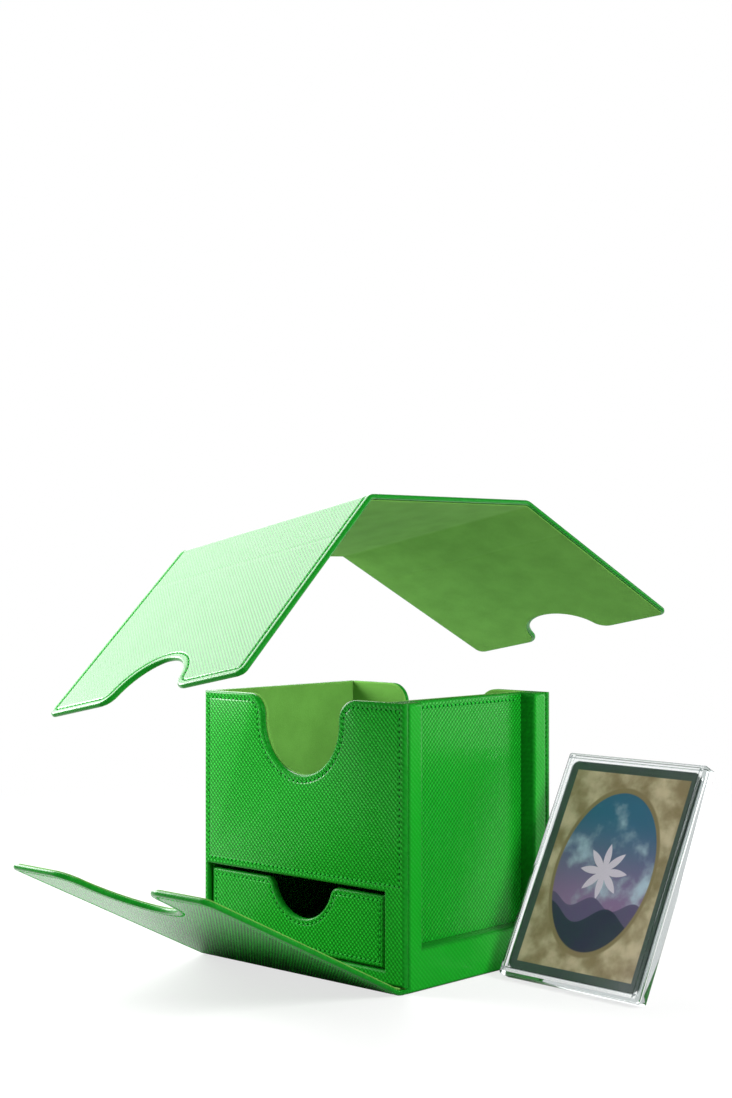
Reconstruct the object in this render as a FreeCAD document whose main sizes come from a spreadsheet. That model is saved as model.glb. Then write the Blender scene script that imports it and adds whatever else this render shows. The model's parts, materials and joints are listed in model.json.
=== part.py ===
import FreeCAD, Part
import math
import os
import types

import Sketcher

# Deck box with a drawer: covered boards, folding flaps, a loose lid and a clear card casing.
# X runs along the front from left to right, the front faces -Y, Z is up and the origin is
# the middle of the underside of the box. Lengths are millimetres, angles are degrees.
SIZES = (
    # The box itself
    ("box_width", 112.6),
    ("box_depth", 90.6),
    ("box_height", 110.0),
    ("cover_thick", 2.0),
    ("lining_thick", 0.6),
    ("lining_inset", 1.5),
    ("panel_thick", 2.5),
    ("inner_board_thick", 1.7),
    ("left_wall_thick", 2.8),
    ("right_wall_thick", 3.6),
    ("base_thick", 5.2),
    ("shelf_thick", 2.2),
    ("drawer_space_height", 30.0),
    # The recess for the card casing in the right side
    ("recess_depth", 7.0),
    ("recess_width", 69.2),
    ("recess_ledge_height", 13.7),
    # Finger notches: width at the mouth, depth and radius of the shoulders
    ("notch_mouth", 60.0),
    ("notch_depth", 31.2),
    ("notch_shoulder", 8.7),
    ("lid_notch_mouth", 49.0),
    ("lid_notch_depth", 20.0),
    ("lid_notch_shoulder", 7.0),
    ("drawer_notch_mouth", 40.0),
    ("drawer_notch_depth", 14.5),
    ("drawer_notch_shoulder", 4.4),
    # The drawer
    ("drawer_side_gap", 1.0),
    ("drawer_floor_gap", 0.4),
    ("drawer_top_gap", 1.8),
    ("drawer_back_gap", 0.8),
    ("drawer_inset", 1.2),
    ("drawer_front_thick", 2.8),
    ("drawer_wall_thick", 2.0),
    ("drawer_side_height", 25.0),
    # Folds: a leather roll at each fold, with a running gap to the boards
    ("fold_gap", 0.3),
    ("flap_side_inset", 0.5),
    ("flap_corner", 4.0),
    ("flap_rest_angle", 26.0),
    # The loose lid, held over the box on a wide swing
    ("lid_flap_lift", 9.6),
    ("lid_crease_offset", 25.0),
    ("lid_seat_gap", 0.4),
    ("lid_swing_arm", 350.0),
    ("lid_swing_height", 90.0),
    ("lid_swing_angle", 11.0),
    ("lid_front_angle", 39.5),
    ("lid_back_angle", 28.5),
    # Magnets in the boards
    ("magnet_diameter", 8.0),
    ("magnet_thick", 1.2),
    ("magnet_clearance", 0.1),
    ("magnet_side_inset", 12.0),
    ("magnet_edge_inset", 14.0),
    # The clear casing, which leans by itself beside the box
    ("casing_side_gap", 0.4),
    ("casing_height", 94.0),
    ("casing_back_thick", 3.6),
    ("casing_front_thick", 2.4),
    ("casing_seam", 0.3),
    ("casing_chamfer", 1.0),
    ("card_width", 63.0),
    ("card_height", 88.0),
    ("card_thick", 0.6),
    ("card_clearance", 0.2),
    ("casing_place_x", 42.4),
    ("casing_place_y", 3.9),
    ("casing_turn_angle", 3.3),
    ("casing_lean_angle", 27.75),
)

os.makedirs("parts", exist_ok=True)
doc = FreeCAD.newDocument("deck_box")
X_AXIS = (1, 0, 0)
Y_AXIS = (0, 1, 0)
Z_AXIS = (0, 0, 1)
pieces = []


class Size:
    """A value together with the sheet expression that gives it."""

    def __init__(self, value, text):
        self.value = value
        self.text = text

    def joined(self, other, sign, value):
        return Size(value, f"({self.text} {sign} {other.text})")

    def __add__(self, other):
        other = as_size(other)
        return self.joined(other, "+", self.value + other.value)

    def __sub__(self, other):
        other = as_size(other)
        return self.joined(other, "-", self.value - other.value)

    def __mul__(self, other):
        other = as_size(other)
        return self.joined(other, "*", self.value * other.value)

    def __truediv__(self, other):
        other = as_size(other)
        return self.joined(other, "/", self.value / other.value)

    def __neg__(self):
        return Size(-self.value, f"(0 - {self.text})")


def as_size(number):
    return number if isinstance(number, Size) else Size(float(number), repr(number))


def make_sheet():
    """The driving sizes, one aliased cell each, returned as named values."""
    sheet = doc.addObject("Spreadsheet::Sheet", "Sizes")
    named = {}
    for row, (name, value) in enumerate(SIZES, start=1):
        sheet.set(f"A{row}", name)
        sheet.set(f"B{row}", str(value))
        sheet.setAlias(f"B{row}", name)
        named[name] = Size(value, f"Sizes.{name}")
    doc.recompute()
    return types.SimpleNamespace(**named)


size = make_sheet()
ZERO = as_size(0)


# A pose is the text of a sheet expression, so that whatever it places follows the sizes.
def pose_text(place, axis, angle):
    x, y, z = (as_size(value).text for value in place)
    turn = "; ".join(str(value) for value in axis)
    return f"placement(vector({x}; {y}; {z}); rotation(vector({turn}); {as_size(angle).text}))"


def shifted(x, y, z):
    return pose_text((x, y, z), Z_AXIS, 0)


def turned(axis, angle):
    return pose_text((0, 0, 0), axis, angle)


def together(*poses):
    """One pose after another, the first one outermost."""
    return " * ".join(poses)


def bind(item, **sizes):
    """Binds sizes of an object to the sheet."""
    for name, value in sizes.items():
        item.setExpression(name, as_size(value).text)


def bind_pose(item, pose):
    item.setExpression("Placement", pose)


def keep(item, label):
    item.Label = label
    pieces.append(item)
    return item


def box_between(name, low, high, pose=None):
    """A box between two corners, bound to the sheet, in the pose of what carries it."""
    item = doc.addObject("Part::Box", name)
    bind(item, Length=high[0] - low[0], Width=high[1] - low[1], Height=high[2] - low[2])
    bind_pose(item, together(pose, shifted(*low)) if pose else shifted(*low))
    return item


def block(label, low, high, pose=None):
    return keep(box_between(label, low, high, pose), label)


# Outlines are lists of corners; a corner that starts an arc also has a radius and a middle point.
def corner(x, y, radius=None, middle=None):
    return types.SimpleNamespace(x=as_size(x), y=as_size(y), radius=radius, middle=middle)


def arc_middle(centre, start, end):
    """The middle of the short arc from start to end about a centre."""
    way = [(a - c) + (b - c) for a, b, c in zip(start, end, centre)]
    reach = math.dist(start, centre) / math.hypot(*way)
    return tuple(c + w * reach for c, w in zip(centre, way))


def notch_corners(edge, mouth, depth, shoulder):
    """A finger notch from left to right: two rounded shoulders tangent to one round bottom."""
    half = mouth / 2
    reach = (half * half + depth * depth) / (depth * 2)
    bottom = reach - shoulder
    share = bottom / reach
    bottom_y = edge - depth + bottom
    shoulder_y = edge - shoulder
    meet_x = half * share
    meet_y = bottom_y + (shoulder_y - bottom_y) * share
    left = arc_middle(
        (-half.value, shoulder_y.value), (-half.value, edge.value), (-meet_x.value, meet_y.value)
    )
    return [
        corner(-half, edge, shoulder, left),
        corner(-meet_x, meet_y, bottom, (0.0, (edge - depth).value)),
        corner(meet_x, meet_y, shoulder, (-left[0], left[1])),
        corner(half, edge),
    ]


def notched_outline(left, right, low, edge, notch, round_corner=None):
    """A board seen flat, with a finger notch in its far edge and, if asked, rounded far corners."""
    outline = [corner(right, low), corner(left, low)]
    if round_corner is None:
        return outline + [corner(left, edge)] + notch_corners(edge, *notch) + [corner(right, edge)]
    side = edge - round_corner
    inner_left = left + round_corner
    inner_right = right - round_corner
    left_arc = arc_middle(
        (inner_left.value, side.value), (left.value, side.value), (inner_left.value, edge.value)
    )
    right_arc = arc_middle(
        (inner_right.value, side.value), (inner_right.value, edge.value), (right.value, side.value)
    )
    return (
        outline
        + [corner(left, side, round_corner, left_arc), corner(inner_left, edge)]
        + notch_corners(edge, *notch)
        + [corner(inner_right, edge, round_corner, right_arc), corner(right, side)]
    )


def rectangle(left, right, low, edge):
    return [corner(left, low), corner(right, low), corner(right, edge), corner(left, edge)]


def draw_loop(sketch, outline, prefix):
    """Draws a closed outline and ties every corner and radius to the sheet."""
    count = len(outline)
    ends = []
    for here, there in zip(outline, outline[1:] + outline[:1]):
        start = FreeCAD.Vector(here.x.value, here.y.value)
        end = FreeCAD.Vector(there.x.value, there.y.value)
        if here.radius is None:
            shape = Part.LineSegment(start, end)
        else:
            shape = Part.Arc(start, FreeCAD.Vector(*here.middle), end)
        edge = sketch.addGeometry(shape, False)
        first, last = sorted((1, 2), key=lambda tip: sketch.getPoint(edge, tip).distanceToPoint(start))
        ends.append((edge, first, last))
    for index, here in enumerate(outline):
        edge, first, last = ends[index]
        following, start, _ = ends[(index + 1) % count]
        sketch.addConstraint(Sketcher.Constraint("Coincident", edge, last, following, start))
        tie_point(sketch, edge, first, here.x, here.y, f"{prefix}{index}")
        if here.radius is not None:
            name = f"{prefix}{index}_radius"
            tie(sketch, Sketcher.Constraint("Radius", edge, here.radius.value), name, here.radius)


def tie(sketch, constraint, name, value):
    index = sketch.addConstraint(constraint)
    sketch.renameConstraint(index, name)
    sketch.setExpression(f"Constraints.{name}", value.text)


def tie_point(sketch, edge, end, x, y, name):
    """Places a point by its distances from the sketch's origin."""
    tie(sketch, Sketcher.Constraint("DistanceX", -1, 1, edge, end, x.value), f"{name}_x", x)
    tie(sketch, Sketcher.Constraint("DistanceY", -1, 1, edge, end, y.value), f"{name}_y", y)


def own_plane(body, role):
    return next(item for item in body.Origin.OriginFeatures if item.Role == role)


def new_sketch(body, name, role):
    sketch = body.newObject("Sketcher::SketchObject", name)
    sketch.AttachmentSupport = [(own_plane(body, role), "")]
    sketch.MapMode = "FlatFace"
    return sketch


def board(label, role, outlines, thick):
    """A flat board: its outline and any window, padded from a plane of its own body."""
    body = doc.addObject("PartDesign::Body", label)
    sketch = new_sketch(body, f"{label}_outline", role)
    for prefix, outline in zip(("edge", "window"), outlines):
        draw_loop(sketch, outline, prefix)
    pad = body.newObject("PartDesign::Pad", f"{label}_board")
    pad.Profile = sketch
    bind(pad, Length=thick)
    doc.recompute()
    return keep(body, label)


def magnet_pockets(body, role, places):
    """Round pockets from the plane that the board was padded from, one for each magnet."""
    before = body.Shape.Volume
    sketch = new_sketch(body, f"{body.Label}_magnet_circles", role)
    radius = size.magnet_diameter / 2 + size.magnet_clearance
    for index, (x, y) in enumerate(places):
        centre = FreeCAD.Vector(x.value, y.value)
        circle = sketch.addGeometry(Part.Circle(centre, FreeCAD.Vector(*Z_AXIS), radius.value), False)
        tie(sketch, Sketcher.Constraint("Radius", circle, radius.value), f"magnet{index}_radius", radius)
        tie_point(sketch, circle, 3, x, y, f"magnet{index}")
    pocket = body.newObject("PartDesign::Pocket", f"{body.Label}_magnet_pockets")
    pocket.Profile = sketch
    pocket.Reversed = True
    bind(pocket, Length=size.magnet_thick)
    doc.recompute()
    if body.Shape.Volume >= before:
        raise RuntimeError(f"the magnet pockets of {body.Label} cut nothing")


def magnet_group(label, places, pose):
    """The magnets of one board, a group of equal discs that fill its pockets."""
    discs = []
    for index, (x, y) in enumerate(places):
        disc = doc.addObject("Part::Cylinder", f"{label}_{index}")
        bind(disc, Radius=size.magnet_diameter / 2, Height=size.magnet_thick)
        bind_pose(disc, shifted(x, y, ZERO))
        discs.append(disc)
    group = doc.addObject("Part::Compound", label)
    group.Links = discs
    bind_pose(group, pose)
    keep(group, label)


# Levels and faces that several pieces share
half_width = size.box_width / 2
half_depth = size.box_depth / 2
flap_thick = size.cover_thick + size.lining_thick
half_flap = flap_thick / 2
fold_reach = half_flap + size.fold_gap
base_level = flap_thick
drawer_floor = base_level + size.base_thick
shelf_level = drawer_floor + size.drawer_space_height
compartment_floor = shelf_level + size.shelf_thick
panel_inside = half_depth - size.panel_thick
board_inside = panel_inside - size.inner_board_thick
left_inside = -half_width + size.left_wall_thick
recess_face = half_width - size.recess_depth
right_inside = recess_face - size.right_wall_thick
recess_back = size.recess_width / 2
recess_front = -recess_back
ledge_level = base_level + size.recess_ledge_height
lid_underside = size.box_height + size.fold_gap
lid_fold_level = lid_underside + half_flap
lid_magnet_level = size.lid_flap_lift + size.magnet_edge_inset
box_notch = (size.notch_mouth, size.notch_depth, size.notch_shoulder)
lid_notch = (size.lid_notch_mouth, size.lid_notch_depth, size.lid_notch_shoulder)
drawer_notch = (size.drawer_notch_mouth, size.drawer_notch_depth, size.drawer_notch_shoulder)


def narrowed(notch):
    """The notch of a lining, which stands back from its board by the turned edge."""
    mouth, depth, shoulder = notch
    return (mouth, depth, shoulder - size.lining_inset)


def make_carcass():
    """The bottom panel, walls, base, shelf and the frame of the casing recess."""
    inset = size.lining_inset
    front = -panel_inside
    back = panel_inside
    low = base_level
    top = size.box_height
    block("bottom_panel", (-half_width, -half_depth, ZERO), (half_width, half_depth, size.cover_thick))
    block(
        "bottom_lining",
        (-half_width + inset, -half_depth + inset, size.cover_thick),
        (half_width - inset, half_depth - inset, low),
    )
    block("base_board", (left_inside, front, low), (right_inside, back, drawer_floor))
    block("shelf", (left_inside, front, shelf_level), (right_inside, back, compartment_floor))
    block("left_wall", (-half_width, front, low), (left_inside, back, top))
    block("right_wall", (right_inside, front, low), (recess_face, back, top))
    block("recess_front_post", (recess_face, front, low), (half_width, recess_front, top))
    block("recess_back_post", (recess_face, recess_back, low), (half_width, back, top))
    block("recess_ledge", (recess_face, recess_front, low), (half_width, recess_back, ledge_level))


def make_front_and_back():
    """The front with its finger notch and drawer window, the back with its notch, and their magnets."""
    outline = notched_outline(-half_width, half_width, base_level, size.box_height, box_notch)
    window = rectangle(left_inside, right_inside, drawer_floor, shelf_level)
    magnet_x = half_width - size.magnet_side_inset
    places = [(side, size.box_height - size.magnet_edge_inset) for side in (-magnet_x, magnet_x)]
    upright = turned(X_AXIS, 90)
    facing_front = shifted(ZERO, -panel_inside, ZERO)
    front = board("front_panel", "XZ_Plane", [outline, window], size.panel_thick)
    magnet_pockets(front, "XZ_Plane", places)
    bind_pose(front, facing_front)
    magnet_group("front_panel_magnets", places, together(facing_front, upright))
    places = [(side, lid_magnet_level) for side in (-magnet_x, magnet_x)]
    facing_back = together(shifted(ZERO, panel_inside, ZERO), turned(Z_AXIS, 180))
    back = board("back_panel", "XZ_Plane", [outline], size.panel_thick)
    magnet_pockets(back, "XZ_Plane", places)
    bind_pose(back, facing_back)
    magnet_group("back_panel_magnets", places, together(facing_back, upright))


def make_compartment_lining():
    """Suede boards on the four sides and the floor of the deck compartment."""
    thick = size.inner_board_thick
    left = left_inside + thick
    right = right_inside - thick
    front = -board_inside
    back = board_inside
    low = compartment_floor
    top = size.box_height
    outline = notched_outline(left_inside, right_inside, low, top, box_notch)
    for label, face in (("front_inner_board", front), ("back_inner_board", panel_inside)):
        inner_board = board(label, "XZ_Plane", [outline], thick)
        bind_pose(inner_board, shifted(ZERO, face, ZERO))
    block("left_inner_board", (left_inside, front, low), (left, back, top))
    block("right_inner_board", (right, front, low), (right_inside, back, top))
    block("compartment_floor_lining", (left, front, low), (right, back, low + size.lining_thick))


def make_drawer():
    """The drawer: a notched front, two sides, a back, a bottom and its lining."""
    left = left_inside + size.drawer_side_gap
    right = right_inside - size.drawer_side_gap
    low = drawer_floor + size.drawer_floor_gap
    top = shelf_level - size.drawer_top_gap
    front_face = -half_depth + size.drawer_inset
    inside = front_face + size.drawer_front_thick
    end = panel_inside - size.drawer_back_gap
    wall = size.drawer_wall_thick
    side_top = low + size.drawer_side_height
    outline = notched_outline(left, right, low, top, drawer_notch)
    front = board("drawer_front", "XZ_Plane", [outline], size.drawer_front_thick)
    bind_pose(front, shifted(ZERO, inside, ZERO))
    block("drawer_left_side", (left, inside, low), (left + wall, end, side_top))
    block("drawer_right_side", (right - wall, inside, low), (right, end, side_top))
    block("drawer_back", (left + wall, end - wall, low), (right - wall, end, side_top))
    block("drawer_bottom", (left + wall, inside, low), (right - wall, end - wall, low + wall))
    block(
        "drawer_lining",
        (left + wall, inside, low + wall),
        (right - wall, end - wall, low + wall + size.lining_thick),
    )


def fold_roll(label, pose):
    """The leather rolled round a fold, as wide as the boards that it joins."""
    roll = doc.addObject("Part::Cylinder", label)
    bind(roll, Radius=half_flap, Height=size.box_width - size.flap_side_inset * 2)
    start = shifted(-half_width + size.flap_side_inset, ZERO, ZERO)
    bind_pose(roll, together(pose, start, turned(Y_AXIS, 90)))
    keep(roll, label)


def flap_boards(label, start, end, pose, notch=None):
    """A covered board and its lining, from one reach to another outward of a fold.

    In the fold's own frame +Y runs outward, +Z is the outer side and the fold is the X axis.
    """
    side = half_width - size.flap_side_inset
    inset = size.lining_inset
    lining_side = side - inset
    if notch is None:
        outline = rectangle(-side, side, start, end)
        lining_outline = rectangle(-lining_side, lining_side, start, end)
    else:
        outline = notched_outline(-side, side, start, end, notch, size.flap_corner)
        lining_outline = notched_outline(
            -lining_side, lining_side, start, end - inset, narrowed(notch), size.flap_corner - inset
        )
    seam = together(pose, shifted(ZERO, ZERO, size.lining_thick - half_flap))
    cover = board(f"{label}_cover", "XY_Plane", [outline], size.cover_thick)
    bind_pose(cover, seam)
    lining = board(f"{label}_lining", "XY_Plane", [lining_outline], size.lining_thick)
    bind_pose(lining, together(pose, shifted(ZERO, ZERO, -half_flap)))
    return cover, seam


def add_magnets(label, cover, seam, rows):
    """Magnets in a flap's board, a pair at each reach outward of the fold."""
    magnet_x = half_width - size.magnet_side_inset
    places = [(side, row) for row in rows for side in (-magnet_x, magnet_x)]
    magnet_pockets(cover, "XY_Plane", places)
    magnet_group(label, places, seam)


def make_lower_flap():
    """The flap on the front lower edge, half open, with its roll and magnets."""
    fold = shifted(ZERO, -half_depth - fold_reach, half_flap)
    pose = together(fold, turned(X_AXIS, as_size(180) - size.flap_rest_angle))
    fold_roll("lower_fold_roll", fold)
    length = size.box_height - half_flap
    cover, seam = flap_boards("lower_flap", fold_reach, length, pose, box_notch)
    rows = [lid_magnet_level - half_flap, length - size.magnet_edge_inset]
    add_magnets("lower_flap_magnets", cover, seam, rows)


def lid_pose():
    """Where the loose lid hangs: swung up from its seat about a far axis along Y."""
    to_axis = shifted(-size.lid_swing_arm, ZERO, size.lid_swing_height)
    from_axis = shifted(size.lid_swing_arm, ZERO, -size.lid_swing_height)
    return together(to_axis, turned(Y_AXIS, -size.lid_swing_angle), from_axis)


def make_lid():
    """The lid: a lined top and a creased flap at the front and back, with rolls at every fold."""
    pose = lid_pose()
    front_y = -(half_depth + fold_reach + half_flap + size.lid_seat_gap + half_flap)
    back_y = half_depth + size.lid_seat_gap + half_flap
    side = half_width - size.flap_side_inset
    front_edge = front_y + fold_reach
    back_edge = back_y - fold_reach
    seam = lid_underside + size.lining_thick
    top = lid_underside + flap_thick
    block("lid_top_cover", (-side, front_edge, seam), (side, back_edge, top), pose)
    lining_side = side - size.lining_inset
    block(
        "lid_top_lining",
        (-lining_side, front_edge, lid_underside),
        (lining_side, back_edge, seam),
        pose,
    )
    crease = size.lid_crease_offset
    length = lid_fold_level - size.lid_flap_lift
    folds = (
        ("front", front_y, together(turned(X_AXIS, size.lid_front_angle), turned(Z_AXIS, 180))),
        ("back", back_y, turned(X_AXIS, -size.lid_back_angle)),
    )
    for name, fold_y, turn in folds:
        fold = together(pose, shifted(ZERO, fold_y, lid_fold_level))
        flap = together(fold, turn)
        fold_roll(f"lid_{name}_fold_roll", fold)
        flap_boards(f"lid_{name}_upper", fold_reach, crease - fold_reach, flap)
        fold_roll(f"lid_{name}_crease_roll", together(flap, shifted(ZERO, crease, ZERO)))
        cover, seam = flap_boards(f"lid_{name}_lower", crease + fold_reach, length, flap, lid_notch)
        add_magnets(f"lid_{name}_magnets", cover, seam, [length - size.magnet_edge_inset])


def make_casing():
    """The clear casing: a back half with a pocket, a card blank in it and a bevelled front half."""
    pose = together(
        shifted(half_width + size.casing_place_x, size.casing_place_y, ZERO),
        turned(Z_AXIS, -size.casing_turn_angle),
        turned(X_AXIS, -size.casing_lean_angle),
    )
    half_casing = size.recess_width / 2 - size.casing_side_gap
    height = size.casing_height
    seam = -size.casing_back_thick
    pocket_end = seam + size.card_thick
    card_low = (height - size.card_height) / 2
    card_top = card_low + size.card_height
    half_card = size.card_width / 2
    clear = size.card_clearance
    tray = doc.addObject("Part::Cut", "casing_back")
    tray.Base = box_between("casing_back_block", (-half_casing, seam, ZERO), (half_casing, ZERO, height))
    tray.Tool = box_between(
        "casing_card_pocket",
        (-half_card - clear, seam, card_low - clear),
        (half_card + clear, pocket_end, card_top + clear),
    )
    bind_pose(tray, pose)
    keep(tray, "casing_back")
    block("display_card", (-half_card, seam, card_low), (half_card, pocket_end, card_top), pose)
    outline = rectangle(-half_casing, half_casing, ZERO, height)
    cover = board("casing_front", "XZ_Plane", [outline], size.casing_front_thick)
    plate = cover.Tip
    faces = plate.Shape.Faces
    outer = min(range(len(faces)), key=lambda index: faces[index].CenterOfMass.y)
    bevel = cover.newObject("PartDesign::Chamfer", "casing_front_bevel")
    bevel.Base = (plate, [f"Face{outer + 1}"])
    bind(bevel, Size=size.casing_chamfer)
    bind_pose(cover, together(pose, shifted(ZERO, seam - size.casing_seam, ZERO)))


def check_and_write():
    """Stops on any failed object or bad solid, then writes one file for each piece."""
    doc.recompute()
    for item in doc.Objects:
        if "Invalid" in item.State or "Error" in item.State:
            raise RuntimeError(f"{item.Label} failed: {item.State}")
    for item in pieces:
        if item.Shape.isNull() or not item.Shape.isValid() or not item.Shape.Solids:
            raise RuntimeError(f"{item.Label} has no valid solid")
    for item in pieces:
        item.Shape.exportStep(os.path.join("parts", f"{item.Label}.step"))
        print(item.Label, len(item.Shape.Solids), round(item.Shape.Volume, 1))


make_carcass()
make_front_and_back()
make_compartment_lining()
make_drawer()
make_lower_flap()
make_lid()
make_casing()
check_and_write()
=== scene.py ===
import json
import types

import bpy
import numpy as np
from mathutils import Matrix, Vector, geometry


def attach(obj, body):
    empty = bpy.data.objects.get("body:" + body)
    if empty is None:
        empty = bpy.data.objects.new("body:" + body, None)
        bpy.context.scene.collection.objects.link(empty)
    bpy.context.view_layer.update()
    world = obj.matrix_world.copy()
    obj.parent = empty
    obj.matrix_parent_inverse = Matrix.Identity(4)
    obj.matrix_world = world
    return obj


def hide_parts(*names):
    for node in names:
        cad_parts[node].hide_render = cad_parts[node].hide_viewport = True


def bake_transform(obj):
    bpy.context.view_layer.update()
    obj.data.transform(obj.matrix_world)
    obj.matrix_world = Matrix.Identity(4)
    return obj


bl_info = {
    "name": "Deck box",
    "version": (1, 0, 0),
    "blender": (4, 5, 0),
    "location": "View3D > Sidebar > Deck box",
    "description": "Covers, stitching, folds and the clear casing of a deck box with a drawer",
    "category": "Object",
}

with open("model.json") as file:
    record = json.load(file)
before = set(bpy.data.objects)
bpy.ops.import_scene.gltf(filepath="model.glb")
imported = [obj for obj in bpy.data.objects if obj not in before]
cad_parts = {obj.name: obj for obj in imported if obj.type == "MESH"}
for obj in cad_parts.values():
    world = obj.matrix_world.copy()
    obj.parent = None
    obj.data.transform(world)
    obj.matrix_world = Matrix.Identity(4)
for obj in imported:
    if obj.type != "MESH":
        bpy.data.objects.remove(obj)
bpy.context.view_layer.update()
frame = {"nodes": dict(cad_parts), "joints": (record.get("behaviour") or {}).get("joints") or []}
JOINTS = {joint["name"]: joint for joint in frame["joints"]}

MM = 0.001
X_WAY, Y_WAY, Z_WAY = np.eye(3)

# How finely round shapes are divided: steps of an edge, degrees of an arc, stations of a fold
EDGE_STEPS = 5
ARC_STEP = 6.0
FOLD_STATIONS = 13

# Faces that meet at more degrees than this keep a sharp edge
SHARP_ANGLE = 24.0

# Width of the flat row that keeps a face flat beside its rounding
SUPPORT = 0.15 * MM

# Share of the lining's thickness that a crease takes, and how much of it the leather shows
CREASE = 0.22
CREASE_IN_LEATHER = 0.2

# Height, from 0 to 1, to which the grain sinks where the cover is stretched
GRAIN_MIDDLE = 0.18


def length(label, text, default):
    return bpy.props.FloatProperty(
        name=label, description=text, default=default, min=0.0, unit="LENGTH", precision=5
    )


def number(label, text, default):
    return bpy.props.FloatProperty(name=label, description=text, default=default, min=0.0)


def colour(label, text, default):
    return bpy.props.FloatVectorProperty(
        name=label, description=text, default=default, size=3, subtype="COLOR", min=0.0, max=1.0
    )


class LeatherSettings(bpy.types.PropertyGroup):
    """The embossed leatherette on the outside of every board."""

    crown: colour("Crown", "Colour of the raised grain", (0.013, 0.50, 0.028))
    # The valley colour is partly the leatherette's own darker tone and partly painted shade in the
    # grain's hollows
    valley: colour("Valley", "Colour between the grains", (0.003, 0.22, 0.008))
    # Colour of the turned edges: painted shade where the cover rounds over an edge
    edge_shade: colour("Shaded edge", "Colour where the cover turns over an edge", (0.003, 0.16, 0.008))
    grain_width: length("Grain width", "Distance from grain to grain along a row", 0.00203)
    grain_height: length("Grain height", "Distance of every second row", 0.00201)
    grain_depth: length("Grain depth", "Height of a grain over the valley", 0.00054)
    fine_width: length("Fine width", "Grain to grain on the lid and the lower flap", 0.0016)
    fine_height: length("Fine height", "Every second row on the lid and the lower flap", 0.0017)
    falling: number("Falling", "Share of the falling rows among the grain's slanted rows", 0.68)
    recess_falling: number("Recess falling", "The same share in the recess", 0.42)
    edge_radius: length("Edge radius", "Rounding of a covered edge", 0.0011)
    turned_radius: length("Turned radius", "Rounding of the edge's inner side", 0.0007)
    frame_radius: length("Frame radius", "Rounding of the frame round the recess", 0.0013)
    seated_radius: length("Seated radius", "Rounding of that frame's edge on the wall", 0.00007)
    bottom_inset: length("Bottom inset", "How far the bottom cover stays inside the walls", 0.00033)
    frame_stretch: number("Frame stretch", "How smooth the cover of that frame is", 0.9)
    recess_stretch: number("Recess stretch", "How smooth the cover in the recess is", 0.15)
    coat_low: number("Low coat", "Gloss coat in the valleys of the grain", 0.06)
    coat_high: number("High coat", "Gloss coat that the tops of the grain add", 0.5)
    coat_slanting: number("Slanting coat", "Share of the missing coat that a slanting face gains", 0.95)
    coat_roughness: number("Coat roughness", "Roughness of the coat", 0.27)


class SuedeSettings(bpy.types.PropertyGroup):
    """The short nap that lines the boards."""

    light: colour("Light nap", "Colour of nap brushed towards the light", (0.140, 0.36, 0.062))
    dark: colour("Dark nap", "Colour of nap brushed away from the light", (0.112, 0.30, 0.048))
    edge_radius: length("Edge radius", "Rounding of a lined edge", 0.00028)
    board_radius: length("Board radius", "Rounding of a lined board's edge", 0.0007)
    nap: length("Nap", "Height of the nap", 0.00012)


class StitchSettings(bpy.types.PropertyGroup):
    """The sewn lines along the edges of the covers."""

    thread: colour("Thread", "Colour of the thread", (0.016, 0.40, 0.03))
    # The hole colour is painted shade: the dark inside a needle hole, put on a small raised mark
    hole: colour("Hole", "Colour in the needle holes", (0.001, 0.045, 0.004))
    pitch: length("Pitch", "Distance from stitch to stitch", 0.00245)
    reach: length("Length", "Length of one stitch", 0.0016)
    width: length("Width", "Width of the thread", 0.0009)
    hole_reach: length("Hole length", "Length of a needle hole shade", 0.0012)
    hole_width: length("Hole width", "Width of a needle hole shade", 0.0010)
    inset: length("Inset", "Distance of the sewn line from an edge", 0.0028)
    drawer_inset: length("Drawer inset", "The same on the drawer's front", 0.0022)
    groove: length("Groove", "Half the width of the pressed line that the thread lies in", 0.0009)
    depth: length("Depth", "Depth of that line", 0.0003)


class NotchSettings(bpy.types.PropertyGroup):
    """Finger notches: width at the mouth, depth and radius of the shoulders."""

    box_mouth: length("Box mouth", "Width of the notch in the front, back and lower flap", 0.060)
    box_depth: length("Box depth", "Depth of that notch", 0.0312)
    box_shoulder: length("Box shoulder", "Radius of its shoulders", 0.0087)
    lid_mouth: length("Lid mouth", "Width of the notch in the lid's flaps", 0.049)
    lid_depth: length("Lid depth", "Depth of that notch", 0.020)
    lid_shoulder: length("Lid shoulder", "Radius of its shoulders", 0.007)
    drawer_mouth: length("Drawer mouth", "Width of the notch in the drawer's front", 0.040)
    drawer_depth: length("Drawer depth", "Depth of that notch", 0.0145)
    drawer_shoulder: length("Drawer shoulder", "Radius of its shoulders", 0.0044)
    corner: length("Flap corner", "Radius of a flap's free corners", 0.004)


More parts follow.
